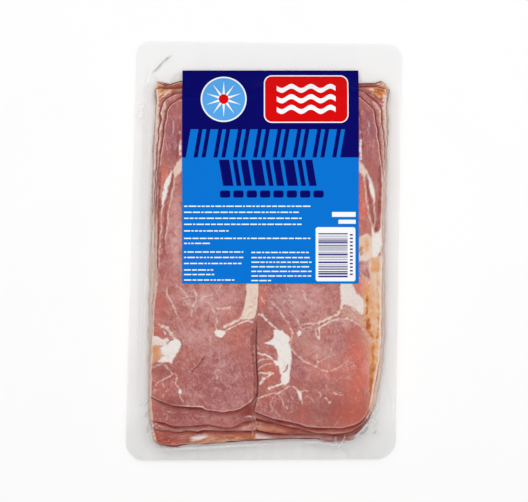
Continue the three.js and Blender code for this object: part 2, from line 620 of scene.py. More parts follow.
@dataclass
class Face:
    """Paints the tissue channels of a rasher from its marks and a seeded marbling.

    CELLS gives the cell sizes of the noises, in pixels: BEND and JITTER say how far two of them
    move the marks, and the others make clouds of tone, thin veins of fat and specks of it.
    """

    CELLS = {"bend_x": 4.5, "bend_y": 4.5, "jitter_x": 1.8, "jitter_y": 1.8, "vein": 9.0,
             "gate": 13.0, "cloud": 16.0, "fleck": 1.9}
    BEND, JITTER = 0.5, 0.35
    WARM_CLOUD, PALE_CLOUD = 0.2, 0.15
    VEIN_WIDTH, VEIN_FRAY = 0.06, 0.25
    GATE_START, GATE_GAIN = 0.05, 2.2
    SPECK_START, SPECK_GAIN, SPECK_SHARE = 0.66, 4.0, 0.3

    marks: Marks
    seed: int
    marbling: float = 0.5

    def __post_init__(self) -> None:
        """Draws the noises."""
        self.noises = {name: Speckle(self.seed + i, cell)
                       for i, (name, cell) in enumerate(self.CELLS.items())}

    def paint(self, px: Array, py: Array) -> Channels:
        """The tissue channels at each place.

        Args:
            px: pixel columns of the places.
            py: pixel rows of the places.

        Returns:
            One array for each channel.
        """
        noise = {name: speckle.at(px, py) for name, speckle in self.noises.items()}
        x = px + self.BEND * noise["bend_x"] + self.JITTER * noise["jitter_x"]
        y = py + self.BEND * noise["bend_y"] + self.JITTER * noise["jitter_y"]
        channels = {name: np.zeros(px.shape) for name in CHANNELS}
        channels["warm"] = self.WARM_CLOUD * noise["cloud"]
        channels["pale"] = self.PALE_CLOUD * self.noises["cloud"].at(py, px)
        veins = fade(np.abs(noise["vein"] + self.VEIN_FRAY * noise["fleck"]), 0.0, self.VEIN_WIDTH)
        specks = ease((self.noises["fleck"].at(py, px) - self.SPECK_START) * self.SPECK_GAIN)
        gated = veins * ease((noise["gate"] - self.GATE_START) * self.GATE_GAIN)
        channels["fat"] = self.marbling * np.maximum(gated, self.SPECK_SHARE * specks)
        for mark in self.marks.values():
            share = np.clip(mark.strength * mark.mask(x, y, noise["fleck"]), 0, 1)
            cover(channels, mark.tissue, share)
        return channels


T = Tissue

LEFT_TOP: Marks = {
    # tones of the muscles
    # upper muscle: pale, with a painted sheen
    "pale upper muscle with painted sheen": Glow(T.PALE, (213, 300), (34, 22), 0.62),
    "pale middle muscle": Glow(T.PALE, (195, 336), (20, 17), 0.5),
    "pink muscle beside the label": Glow(T.PALE, (177, 235), (9, 45), 0.8),
    "mauve heel": Glow(T.MAUVE, (224, 386), (28, 26), 0.6),
    "mauve flap": Glow(T.MAUVE, (173, 135), (10, 32), 0.85),
    "brown shoulder of the heel": Glow(T.WARM, (236, 338), (13, 10), 0.4),
    "rosy left side": Glow(T.WARM, (159, 320), (5, 34), 0.4),
    "pale heel": Glow(T.PALE, (222, 372), (26, 30), 0.22),
    "rosy point between the fat": Glow(T.WARM, (165, 177), (4, 11), 0.9),
    "red around the low seams": Glow(T.CREASE, (166, 372), (14, 9), 0.3),
    # painted shadow along the top rasher's foot edge at the low left
    "painted shadow along the low left foot": Glow(T.CREASE, (171, 402), (18, 4.5), 0.5),
    "coarse grain at the low left": Glow(T.COARSE, (177, 382), (28, 20), 1.0),
    "coarse grain of the heel": Glow(T.COARSE, (226, 380), (24, 20), 0.5),
    # fat wedge, its seam and the white knot at its end
    "fat wedge": Patch(T.CREAM, ((246, 250), (246.5, 292), (245.5, 300), (243.5, 309), (241, 316),
        (239.5, 319), (243, 320), (247, 318.5), (251, 319.5), (254, 317.5), (256.5, 312), (257.5, 300),
        (260, 288), (260, 250))),
    "wrinkle in the wedge a": Streak(T.RUST, 0.8, ((246, 310), (249.4, 306), (252, 307.4), (255, 303)),
        0.55),
    "wrinkle in the wedge b": Streak(T.RUST, 0.8, ((247.4, 316), (250, 312.4), (254, 311.6)), 0.55),
    "wrinkle in the wedge c": Streak(T.LEAN, 0.9, ((244.6, 303), (248, 300), (253, 301.6), (256, 297)),
        0.45),
    "wrinkle in the wedge d": Streak(T.WHITE, 1.2, ((246, 313.6), (250, 309.6), (254.4, 308)), 0.8),
    "blush in the wedge": Streak(T.LEAN, 1.2, ((252, 289), (250.5, 294), (252.5, 299)), 0.35),
    "blush by the seam": Streak(T.LEAN, 1.4, ((254, 294), (255.5, 299)), 0.4),
    "seam of the wedge": Streak(T.CREAM, 3.0, ((241, 318), (236, 321), (230, 324), (224.5, 326.5))),
    "second seam of the wedge": Streak(T.WHITE, 1.9, ((253, 322.5), (247, 320.6), (240, 322.8),
        (234, 326), (228, 329), (224, 332)), 0.9),
    "line between the seams": Streak(T.CREASE, 0.7, ((245, 320), (238, 322.3), (231, 325.6)), 0.35),
    "white knot": Patch(T.WHITE, ((214.7, 331), (217.5, 329.3), (221, 330), (224, 330.4), (224.3, 334),
        (222.5, 337), (220, 338), (216.5, 335.4))),
    "line below the knot": Streak(T.CREASE, 0.8, ((217, 337), (220, 339), (223.5, 337)), 0.35),
    # heart-shaped fat at the outer edge
    "fat collar": Streak(T.CREAM, 3.6, ((162.5, 326.5), (167, 327.5), (170, 331), (172, 335),
        (176, 338.5)), 0.85),
    "tip of the collar": Streak(T.WHITE, 1.3, ((158.5, 324.5), (163.5, 326)), 0.8),
    "upper lobe": Patch(T.WHITE, ((151.5, 335), (156, 336), (160, 337), (163, 338.4), (167, 337),
        (169.5, 340), (168.6, 343), (163, 345.5), (157, 345), (151.5, 345)), 0.8),
    "tan rind of the heart": Patch(T.TAN, ((150.5, 344.5), (157, 344.5), (161, 347), (160.6, 352),
        (160.6, 356), (157, 359.6), (153, 362.5), (150.5, 361)), 0.72, 4.0),
    "soft side of the heart": Glow(T.WHITE, (166.4, 351.6), (5.4, 6.4), 1.0),
    "heart": Patch(T.WHITE, ((168, 344), (171, 340.6), (174, 338.6), (178, 338.6), (181, 341.6),
        (181.2, 347), (179, 351.3), (176, 355.3), (173.5, 359.3), (172, 362.4), (167, 361.2),
        (162, 361.8), (157.5, 361), (161, 357.3), (165, 355.7), (161.6, 352), (161, 348), (163, 345.5)),
        1.0, 2.4),
    "fold in the heart": Streak(T.CREAM, 1.0, ((164, 355), (169, 355.5), (173, 353)), 0.7),
    "red islet": Streak(T.LEAN, 3.2, ((159.5, 330), (162.5, 333)), 0.8),
    "pearl in the islet": Streak(T.WHITE, 1.6, ((164.6, 331.5), (165.6, 332.8)), 0.9),
    "dark ring of the islet": Streak(T.CREASE, 1.0, ((163, 328.5), (165, 327.6), (167.5, 330)), 0.6),
    "dark foot of the islet": Streak(T.CREASE, 1.1, ((162.5, 338.6), (165, 338.4), (166.6, 335.6)), 0.7),
    "dark notch": Streak(T.CREASE, 1.1, ((167.5, 342.6), (170.5, 340.2), (173.5, 338.6)), 0.65),
    "shadow of the heart": Streak(T.CREASE, 1.2, ((177.5, 337.4), (180.6, 339.4), (182.3, 343.4),
        (181.8, 347.6)), 0.7),
    "light round the heart": Streak(T.CREAM, 0.9, ((180.5, 336), (183, 339), (183.6, 344)), 0.45),
    "cream foot of the heart": Streak(T.CREAM, 2.2, ((154.5, 367), (158, 364.5), (163, 363.4)), 0.55),
    # seams
    "spotted seam": Streak(T.CREAM, 1.9, ((165, 365), (168, 368), (171, 371), (172.6, 373.6)), 0.65),
    "low left seam": Streak(T.CREAM, 1.5, ((174, 373), (170, 376.2), (165, 378.6), (160, 381),
        (156.4, 384.6))),
    "low seam": Streak(T.CREAM, 1.4, ((175.3, 372.5), (177.5, 376), (176.6, 380), (175.6, 383),
        (178, 386), (181, 389.4), (180.4, 392.6), (181, 397), (184.4, 401.4)), 0.9),
    "knot in the low seam": Patch(T.WHITE, ((179.6, 388.4), (182.4, 390), (181.4, 393.6),
        (179.2, 392.4))),
    "fleck a": Streak(T.CREAM, 1.2, ((163, 382.6), (165, 387)), 0.7),
    "fleck b": Streak(T.CREAM, 1.3, ((165.6, 391), (168, 389.4)), 0.7),
    "fleck c": Streak(T.CREAM, 1.2, ((164, 393.6), (163.3, 396.6)), 0.8),
    "fleck d": Streak(T.CREAM, 1.2, ((155, 387.6), (155.5, 392.4)), 0.7),
    "bright left seam": Streak(T.CREAM, 1.6, ((167.2, 288), (167, 293), (170, 299), (174, 306),
        (177.2, 315))),
    "faint run of the left seam": Streak(T.PALE, 1.6, ((177.6, 316), (182, 321), (185, 329)), 0.7),
    "left arm of the fork": Streak(T.CREAM, 1.3, ((177, 285), (184, 291.5), (188, 297), (191, 303.6)),
        0.85),
    "right arm of the fork": Streak(T.CREAM, 1.9, ((193.8, 289.5), (197, 295.4), (196.6, 301),
        (192.6, 306)), 0.95),
    "foot of the fork": Streak(T.CREAM, 1.1, ((192.3, 305), (192.3, 317)), 0.65),
    "pale shoulder of the fork": Streak(T.CREAM, 2.6, ((185, 301), (190.5, 305)), 0.35),
    "seam beside the fork": Streak(T.CREAM, 1.9, ((197, 299.6), (201, 300.6), (204, 296.6), (208, 296),
        (212, 294.6)), 0.55),
    "short seam near the label": Streak(T.CREAM, 1.1, ((221.4, 284), (219, 289), (216.4, 293)), 0.7),
    "long seam, upper half": Streak(T.CREAM, 1.3, ((206, 301), (211, 304.6), (213, 309), (215, 312)),
        0.85),
    "long seam, lower half": Streak(T.CREAM, 1.4, ((216, 316.4), (217.3, 321.6), (215.4, 325),
        (217.4, 328.4)), 0.85),
    "pale bar": Streak(T.CREAM, 2.4, ((218.6, 308.2), (224, 307.6), (230.2, 307.6)), 0.75),
    "seam left of the knot": Streak(T.CREAM, 1.1, ((208.6, 336.6), (212.4, 334.8), (216, 334.4)), 0.75),
    "seam below the knot": Streak(T.CREAM, 1.0, ((210, 344.4), (210.4, 340), (211.4, 336.6)), 0.6),
    "dark cut": Streak(T.CREASE, 1.9, ((204, 356.6), (202.5, 360.6), (198, 365.6), (193, 370),
        (192.3, 373.4)), 1.0),
    "dark cut, lower end": Streak(T.CREASE, 1.0, ((192.6, 375), (192, 379.4)), 0.6),
    "dark cut, side": Streak(T.CREASE, 0.9, ((205.5, 354), (206.6, 359.4)), 0.5),
    "heel line a": Streak(T.PALE, 1.1, ((214, 358.4), (220, 357), (224.4, 354)), 0.9),
    "heel line b": Streak(T.PALE, 1.1, ((229.2, 356), (228.4, 364.4)), 0.8),
    "heel line c": Streak(T.PALE, 1.2, ((213, 363.6), (219, 370.6), (217.6, 375), (217.4, 384.6)), 0.8),
    "heel line d": Streak(T.PALE, 1.1, ((213, 388.6), (217, 387), (221, 390.6)), 0.9),
    "heel line e": Streak(T.PALE, 1.1, ((238.8, 371), (242.4, 377.4)), 0.8),
    "heel line f": Streak(T.CREAM, 1.0, ((201.4, 396.6), (207.4, 403.4)), 0.5),
    "heel pearl": Streak(T.WHITE, 1.9, ((199.6, 394), (200.4, 395)), 0.9),
    "heel flecks": Streak(T.CREASE, 1.0, ((193.6, 397.6), (197, 399.6), (203, 389)), 0.4),
    "cream foot edge": Streak(T.CREAM, 1.5, ((185.6, 405.4), (195, 406), (202.4, 406), (205.6, 409)),
        0.95),
    "pale corner": Streak(T.CREAM, 1.4, ((249, 402), (253.6, 397.8)), 0.8),
    # painted shade where the left row's inner edge rolls down into the groove
    "painted shade where the inner edge rolls down": Streak(T.CREASE, 4.0, ((252.8, 330), (252.8, 345), (254.2, 365), (256.4, 380),
        (255.8, 395)), 0.6),
    "dark line at the outer edge": Streak(T.CREASE, 1.2, ((156.2, 280), (155.6, 298), (153.8, 315),
        (152.4, 335), (151.2, 366)), 0.7),
    # strip beside the label
    # painted shade in the groove beside the label
    "painted shade in the groove at the label": Streak(T.CREASE, 1.8, ((180.6, 126), (179.4, 136), (178.3, 144),
        (178.5, 151), (177, 158)), 0.75),
    "white fat at the label": Streak(T.WHITE, 2.2, ((181.4, 142), (180.5, 149), (181, 155))),
    "white bead at the label": Streak(T.WHITE, 1.6, ((180, 132.4), (180.6, 133.6)), 0.9),
    "fibre in the flap a": Streak(T.PALE, 1.1, ((166, 142), (167.4, 148), (168, 153)), 0.9),
    "fibre in the flap b": Streak(T.PALE, 1.1, ((167.6, 154), (169.4, 162)), 0.8),
    "fibre in the flap c": Streak(T.PALE, 1.1, ((175.6, 139), (175, 150)), 0.6),
    "bone-white fork": Patch(T.CREAM, ((182.5, 158), (182.5, 172), (178, 175), (176, 178), (173, 174),
        (174, 168.4), (177.4, 163)), 0.9),
    "stain in the fork": Streak(T.TAN, 1.0, ((179, 166), (176, 171), (174, 176)), 0.6),
    "white prong": Patch(T.WHITE, ((172.4, 171), (171.2, 178), (168.8, 185), (167.6, 192), (165.6, 199),
        (163.8, 206), (161.4, 204.6), (162.3, 198), (163.8, 191), (165, 184), (168, 177))),
    "line below the prong": Streak(T.CREAM, 1.5, ((163, 205), (162.1, 213), (161.6, 222), (161.9, 227),
        (160.4, 234), (159.9, 242), (160.5, 246), (159.3, 254), (159.7, 262), (158.2, 269),
        (158.2, 284))),
    "lean band inside the prong": Streak(T.CREASE, 2.8, ((172.8, 175), (171.6, 185), (169.2, 195),
        (166.6, 203), (166, 215), (165, 226), (164.3, 236), (164.6, 246), (163.2, 258)), 0.6),
    "cream line of the second fold": Streak(T.CREAM, 1.4, ((175.2, 175), (174.2, 186), (172, 194),
        (171.4, 202), (169.2, 210), (168, 217), (168.9, 224), (167.2, 230), (166, 237), (166.3, 244))),
    "lean band outside the prong": Streak(T.CREASE, 3.6, ((159.8, 168), (160, 184), (159.4, 200),
        (158.6, 215), (158.2, 230), (158, 245), (157, 260), (156.8, 280)), 0.65),
    "smoked line by the prong": Streak(T.TAN, 1.7, ((163.4, 185), (162, 191), (161, 198)), 0.5),
    "light fibre by the label": Streak(T.PALE, 1.2, ((167, 272), (163.4, 283)), 0.9),
    # hidden under the label
    "hidden wedge": Patch(T.CREAM, ((240, 150), (256, 130), (259, 170), (258, 230), (248, 236),
        (243, 190)), 0.9),
    "hidden seam": Streak(T.CREAM, 2.2, ((188, 120), (200, 150), (206, 190), (222, 215), (243, 230))),
    "hidden warm muscle": Glow(T.WARM, (225, 150), (20, 40), 0.5),
}

RIGHT_TOP: Marks = {
    # tones of the muscles
    # upper muscle: pale, with a painted sheen
    "pale upper muscle with painted sheen": Glow(T.PALE, (306, 300), (32, 19), 0.68),
    "mauve strip": Glow(T.MAUVE, (282, 300), (8, 16), 0.7),
    "orange upper corner": Glow(T.WARM, (261, 294), (5.5, 12), 0.8),
    "pale shoulder of the eye": Glow(T.PALE, (342, 322), (16, 5), 0.6),
    "mauve middle of the eye": Glow(T.MAUVE, (336, 344), (8, 9), 0.45),
    "pale middle of the eye": Glow(T.PALE, (318, 346), (22, 20), 0.3),
    "rosy middle of the eye": Glow(T.WARM, (326, 366), (24, 24), 0.3),
    "light middle of the eye": Glow(T.PALE, (328, 362), (26, 24), 0.24),
    "orange side of the eye": Glow(T.WARM, (361, 352), (16, 32), 0.7),
    "orange foot of the eye": Glow(T.WARM, (357, 390), (14, 26), 0.5),
    "mauve column": Glow(T.MAUVE, (297, 366), (7, 17), 0.55),
    "brownish small eye": Glow(T.TAN, (306, 344), (9, 11), 0.16),
    "dark foot": Glow(T.CREASE, (335, 412), (38, 16), 0.42),
    "rusty low corner": Glow(T.WARM, (350, 416), (20, 12), 0.7),
    "coarse net muscle": Glow(T.COARSE, (278, 405), (26, 13), 1.3),
    "dark net muscle": Glow(T.CREASE, (279, 404), (25, 12), 0.2),
    "coarse left side": Glow(T.COARSE, (266, 374), (10, 18), 0.9),
    "rusty left side": Glow(T.WARM, (268, 375), (9, 20), 0.4),
    "red left corner": Glow(T.CREASE, (264, 322), (9, 12), 0.3),
    # fat at the shoulder, and the seams that run from it
    "fat shoulder": Patch(T.WHITE, ((339.5, 250), (340.2, 292), (340.5, 302), (341, 310), (343, 305),
        (346, 303.4), (350, 307), (356, 311), (361, 314.6), (363.4, 313), (363.4, 300), (360, 296),
        (355, 291), (352, 285.6), (350, 250)), 0.85),
    "smoked net below the shoulder": Patch(T.TAN, ((341.5, 309), (345, 304.6), (350, 308.6), (358, 313.6),
        (364, 320), (363, 326), (356, 321), (349, 317.6), (342, 315.6)), 0.3),
    "net line d": Streak(T.CREAM, 0.9, ((343, 312), (349, 315), (357, 318.6), (362, 323)), 0.8),
    "net line e": Streak(T.WHITE, 0.9, ((344, 306.6), (350, 311.6), (356, 316.4)), 0.6),
    "net line f": Streak(T.RUST, 0.9, ((347, 305), (353, 307.6), (360, 313.4), (364, 317)), 0.6),
    "net line a": Streak(T.CREAM, 1.3, ((345, 303), (351, 309), (358, 314), (364, 320)), 0.8),
    "net line b": Streak(T.LEAN, 1.0, ((344, 308), (351, 313), (359, 318.6)), 0.5),
    "net line c": Streak(T.LEAN, 0.9, ((348, 305.6), (354, 309.4)), 0.4),
    "seam under the pale muscle": Streak(T.CREAM, 2.7, ((341.4, 307), (338, 313.4), (331, 316.6),
        (324, 320), (318, 322.6))),
    "thin end of that seam": Streak(T.CREAM, 1.6, ((318, 322.6), (312, 324), (306, 323.5), (301, 324.4)),
        0.9),
    "top border of the eye": Streak(T.CREAM, 1.9, ((347, 318), (339, 318.6), (331, 320.8), (324, 324),
        (318.5, 328))),
    "right border of the eye": Streak(T.CREAM, 1.7, ((346, 318), (352, 320), (358, 324), (362, 328),
        (366, 334), (371.4, 342))),
    "left lip of the notch": Streak(T.WHITE, 1.5, ((315.2, 328.6), (316.4, 334), (318, 338.6)), 0.95),
    "right lip of the notch": Streak(T.WHITE, 1.5, ((319.8, 328.6), (319.4, 334), (318.6, 338.6)), 0.9),
    "notch": Streak(T.CREASE, 1.0, ((317.3, 330), (318, 335)), 0.7),
    "top border of the small eye": Streak(T.CREAM, 1.2, ((302.6, 328.6), (307, 327), (312, 327.6),
        (315.4, 330.4)), 0.7),
    "pearl": Patch(T.WHITE, ((296.6, 332), (299, 330.2), (301.6, 332), (300.8, 335.2), (298, 336.4)),
        0.95),
    "border of the small eye": Streak(T.CREAM, 1.5, ((293, 333.6), (291, 339), (290.5, 345), (293, 350.6),
        (297, 355), (302, 359), (307, 362.8), (312, 364.4), (316, 366)), 0.9),
    "lower border": Streak(T.CREAM, 1.5, ((316, 366), (320, 369), (325, 370.6), (328, 371.4)), 0.95),
    "lower border, right end": Streak(T.CREAM, 1.3, ((330, 371), (335, 368.6), (340, 366.6),
        (342.4, 364.4)), 0.8),
    "branch upwards": Streak(T.CREAM, 1.3, ((316, 366), (317.6, 361), (316.5, 354)), 0.85),
    "branch to the right": Streak(T.CREAM, 1.2, ((318, 361.4), (324, 358.6), (330, 355.6),
        (333.6, 353.6)), 0.85),
    "end of the branch": Streak(T.CREAM, 1.2, ((334, 355), (331.4, 351.6), (330.4, 348.4)), 0.75),
    # white island between the eyes, and the white hairs left of it
    "white island": Patch(T.WHITE, ((273, 333), (274, 330), (277, 329.4), (280, 330.6), (282, 330),
        (285, 333.4), (289.4, 337.4), (289.2, 343), (291, 350), (291.4, 358), (290.6, 367), (289.6, 375),
        (288.6, 382), (285, 384.4), (281, 383), (281, 376), (279, 370), (277.4, 363), (278, 356),
        (276.6, 349), (274, 344.6), (269, 343.6), (263.4, 342.8), (268, 341), (272, 339), (274, 336.6))),
    "stem of the island": Patch(T.WHITE, ((273.6, 361.4), (277, 360.2), (280, 361.6), (280.6, 365),
        (276, 365.4))),
    "nick in the island": Streak(T.CREASE, 1.6, ((283, 371.6), (286, 369.4), (287.7, 365)), 0.8),
    "smoked foot of the island": Streak(T.TAN, 2.4, ((283, 385), (288, 385.4)), 0.6),
    "shadow left of the island": Streak(T.CREASE, 1.2, ((272.4, 335.6), (270.6, 338), (266, 340.4)),
        0.65),
    "shadow above the island": Streak(T.CREASE, 1.1, ((279.6, 328.6), (275, 326.6)), 0.5),
    "shadow right of the island": Streak(T.CREASE, 0.9, ((290.4, 341), (292.2, 352), (292, 365),
        (290.4, 378)), 0.45),
    "white hair a": Streak(T.WHITE, 1.8, ((254.6, 353), (259, 353), (264, 354), (269, 356), (273, 359),
        (276, 360.6))),
    "white hair b": Streak(T.WHITE, 1.2, ((257, 362.4), (261, 359.4), (266, 358.4), (272, 359)), 0.7),
    "white hair c": Streak(T.WHITE, 1.2, ((256, 371.4), (260, 367), (265, 364.4), (271, 363.4)), 0.7),
    "white hair d": Streak(T.WHITE, 1.9, ((257, 373.6), (262, 372.4), (267, 373), (270.4, 371)), 0.85),
    "white hair e": Streak(T.WHITE, 2.6, ((260, 382.8), (263, 378.4), (268, 375.4), (272.4, 373)), 0.85),
    "white hair f": Streak(T.WHITE, 2.5, ((268.4, 387.6), (273, 386.4), (277, 385), (283, 382.4)), 0.95),
    "white hair g": Streak(T.WHITE, 1.3, ((256, 344.6), (258.2, 348.4)), 0.85),
    "white hair h": Streak(T.CREAM, 1.1, ((264, 345), (268.4, 347.6)), 0.5),
    # net of seams under the island
    "top of the net": Streak(T.CREAM, 1.5, ((255, 402), (257, 397.6), (261, 396), (266, 394.4),
        (271, 392.4), (277, 393), (281, 391), (285, 388.4), (289, 386), (293, 386.4), (297, 388.6),
        (299, 391.6), (300.5, 396), (302, 402.6))),
    "knot of the net": Patch(T.WHITE, ((296.4, 388.8), (301.4, 391), (301.6, 397), (300, 399.6),
        (298, 394)), 0.85),
    "arm of the net": Streak(T.CREAM, 1.3, ((301, 391.4), (304, 390), (308, 390.6)), 0.75),
    "left leg of the net": Streak(T.CREAM, 1.1, ((276, 393), (272, 398), (270.6, 403), (272.4, 408),
        (276.4, 411.6), (281, 416)), 0.75),
    "middle leg of the net": Streak(T.CREAM, 1.1, ((278.6, 394.4), (282, 399), (283.2, 404),
        (288, 408.6)), 0.85),
    "right leg of the net": Streak(T.CREAM, 1.2, ((290, 387.4), (289.6, 392), (293.4, 398)), 0.75),
    "toe of the net": Streak(T.CREAM, 1.0, ((288.6, 412.4), (293.6, 410.6)), 0.6),
    "fleck a": Streak(T.CREAM, 1.3, ((306.6, 395.4), (311, 398), (314.4, 402.4)), 0.65),
    "fleck b": Streak(T.CREAM, 1.5, ((318.8, 391.4), (321.4, 393.4), (320.6, 396)), 0.8),
    "fleck c": Streak(T.WHITE, 1.7, ((326.4, 397.8), (329.8, 402.2)), 0.85),
    "fleck d": Streak(T.CREAM, 1.2, ((333.8, 391), (335.4, 393.6), (342.4, 394.2)), 0.75),
    "fleck e": Streak(T.PALE, 1.2, ((335.6, 381), (341.4, 374.8)), 0.9),
    "fleck f": Streak(T.PALE, 1.2, ((345, 378.4), (349.4, 375.4)), 0.9),
    "fleck g": Streak(T.PALE, 1.3, ((316, 420), (321, 419.4)), 0.9),
    "low arc": Streak(T.PALE, 1.2, ((334, 425.6), (338, 419), (344, 413), (354, 410)), 0.9),
    # seams of the upper left muscle
    "upper seam, upper half": Streak(T.CREAM, 1.3, ((271, 301.6), (276, 306), (280.6, 311.6)), 0.75),
    "upper seam, lower half": Streak(T.CREAM, 1.8, ((280.6, 312), (284, 318.4), (288, 323), (291, 329),
        (293.4, 333.6)), 0.95),
    "side seam": Streak(T.WHITE, 2.0, ((256.6, 313), (262, 315.4), (266, 319.4), (271, 323.8),
        (276.4, 329)), 0.9),
    "short side seam": Streak(T.CREAM, 1.2, ((261.6, 311.4), (265, 318.4)), 0.7),
    "middle seam": Streak(T.CREAM, 1.8, ((290.6, 312), (294, 316), (297, 320), (299, 325), (302, 329)),
        0.9),
    "top fleck a": Streak(T.CREAM, 1.4, ((285.4, 281), (287.2, 291.4)), 0.7),
    "top fleck b": Streak(T.CREAM, 1.5, ((302.8, 291.6), (305, 296), (306.2, 300.6)), 0.85),
    "top fleck c": Streak(T.CREAM, 1.3, ((319.6, 290.4), (324.4, 287)), 0.6),
    "top fleck d": Streak(T.CREAM, 1.6, ((261.6, 297.4), (264.4, 303.4)), 0.8),
    "top fleck e": Streak(T.CREAM, 1.0, ((268, 306.6), (274, 309.6)), 0.5),
    # smoked fat at the outer edge
    "fat rim": Patch(T.CREAM, ((368, 256), (390, 256), (390, 400), (380, 414), (368, 414), (370, 397),
        (371.4, 385), (372.8, 365), (372.4, 345), (369.6, 336), (366, 330), (364, 322), (363, 314),
        (363, 297), (369, 292), (369.6, 284)), 0.95),
    "rusty muscle at the shoulder": Patch(T.LEAN, ((352, 283), (356, 276), (369, 280), (369.6, 292),
        (363.6, 297.4), (357, 292.6))),
    "rust on that muscle": Patch(T.WARM, ((352, 283), (356, 276), (369, 280), (369.6, 292),
        (363.6, 297.4), (357, 292.6))),
    "smoke over the rim": Glow(T.TAN, (368.6, 302), (7.5, 38), 0.9),
    "smoke over the low rim": Glow(T.TAN, (373.6, 364), (5, 40), 1.0),
    "smoked line, upper": Streak(T.TAN, 5.4, ((366.4, 292), (367, 305), (366.8, 313), (366.4, 321))),
    "rust in the upper line": Streak(T.RUST, 2.6, ((366.4, 296), (367.2, 306), (366.8, 314)), 0.7),
    "smoked line, lower": Streak(T.RUST, 4.8, ((366.4, 319), (368, 327), (370.4, 334.6), (371.4, 339)),
        0.9),
    "rust below the line": Streak(T.RUST, 2.4, ((372.2, 340), (373, 352), (373.6, 366), (372.6, 378)),
        0.5),
    "smoke below the line": Streak(T.TAN, 4.6, ((372, 338), (373, 346), (374, 358), (374, 370)), 0.85),
    "smoked line, outer": Streak(T.TAN, 2.2, ((376.4, 270), (377.8, 300), (378, 311), (377.5, 325),
        (378.2, 335), (375.8, 345), (376.6, 358), (375.6, 372)), 0.95),
    "rust on the outer line": Streak(T.RUST, 1.2, ((377.4, 316), (378, 330), (376, 342)), 0.6),
    "rust at the foot": Streak(T.RUST, 4.4, ((371, 366), (370.6, 376), (370, 392)), 0.75),
    "rust line at the foot": Streak(T.RUST, 2.4, ((369.4, 394), (367.6, 408), (363, 418)), 0.7),
    # strip beside the label
    # painted shade in the groove beside the label
    "painted shade in the groove at the label": Streak(T.CREASE, 1.9, ((359.4, 110), (360.4, 127), (361.5, 138),
        (362.8, 146), (361.8, 154)), 0.75),
    "white fat at the label": Streak(T.WHITE, 2.2, ((360.6, 141), (360, 148), (360.6, 159))),
    "white bead at the label": Streak(T.WHITE, 1.6, ((360, 131.6), (360.6, 133)), 0.9),
    "mauve flap": Glow(T.MAUVE, (368, 132), (11, 32), 0.85),
    "fibre in the flap a": Streak(T.PALE, 1.1, ((373.6, 142), (372.6, 150), (372, 157)), 0.9),
    "fibre in the flap b": Streak(T.PALE, 1.1, ((366, 148), (367, 158)), 0.6),
    "bone-white fork": Patch(T.CREAM, ((357, 158), (363, 165.6), (366.4, 171), (369, 177), (366, 181),
        (362, 175), (357, 170)), 0.9),
    "white prong": Patch(T.WHITE, ((366, 170), (369.4, 178), (372.8, 184), (374.4, 192), (374.4, 204),
        (372.4, 200), (370, 192), (368, 184), (366, 176))),
    "line below the prong": Streak(T.CREAM, 1.4, ((373.6, 200), (374.1, 210), (374.4, 220), (373.9, 228)),
        0.95),
    "inner seam": Streak(T.CREAM, 1.6, ((363.8, 170), (364, 182), (365.3, 192), (366, 200), (367.5, 208),
        (369, 217), (371.5, 225), (373, 232))),
    "lean band inside the prong": Streak(T.CREASE, 2.8, ((366.4, 175), (366.9, 186), (369, 198),
        (371.2, 210), (373, 222)), 0.65),
    "outer lean": Patch(T.LEAN, ((375.4, 196), (379, 186), (381.6, 190), (381.4, 215), (379.4, 226),
        (375.6, 233), (374.4, 226), (375.8, 212))),
    "dark outer lean": Streak(T.CREASE, 3.4, ((379.4, 168), (380, 186), (379, 204), (377.8, 218),
        (375.9, 230)), 0.6),
    "rusty muscle at the label": Glow(T.WARM, (361, 206), (6.5, 30), 0.75),
    "white fat below the lean": Patch(T.WHITE, ((371.0, 226), (374.6, 233), (377, 232.6), (381, 226),
        (382, 240), (380, 250), (377, 257), (371.6, 257), (371, 245), (371.6, 235))),
    "yellow fat at the label": Patch(T.CREAM, ((357, 239), (366, 233), (371.4, 238), (371.8, 256),
        (366, 262), (357, 262))),
    "smoke in the yellow fat": Streak(T.TAN, 3.6, ((366, 239), (366.4, 250)), 0.9),
    "rust in the yellow fat": Streak(T.RUST, 3.2, ((360.6, 248), (360.8, 255)), 0.8),
    "smoke on the yellow fat": Glow(T.TAN, (363, 244), (8, 8), 0.5),
    "pink muscle under it": Patch(T.LEAN, ((358, 261), (364, 261), (368, 270), (370, 279), (363, 275),
        (358, 269))),
    "pale pink muscle": Glow(T.PALE, (363, 267), (5, 5), 1.0),
    "fan line a": Streak(T.WHITE, 1.3, ((357, 270), (363, 277), (369, 282)), 0.9),
    "fan line b": Streak(T.CREAM, 1.2, ((358, 277), (364, 283), (368, 288)), 0.7),
    "smoked block": Patch(T.TAN, ((371, 257), (378.4, 255), (378.8, 272), (370.6, 273)), 0.85),
    # hidden under the label
    "hidden seam": Streak(T.CREAM, 2.2, ((276, 130), (290, 160), (300, 200), (318, 225), (338, 234))),
    "hidden fat": Patch(T.CREAM, ((330, 150), (344, 130), (350, 170), (346, 230), (338, 236), (333, 190)),
        0.9),
}

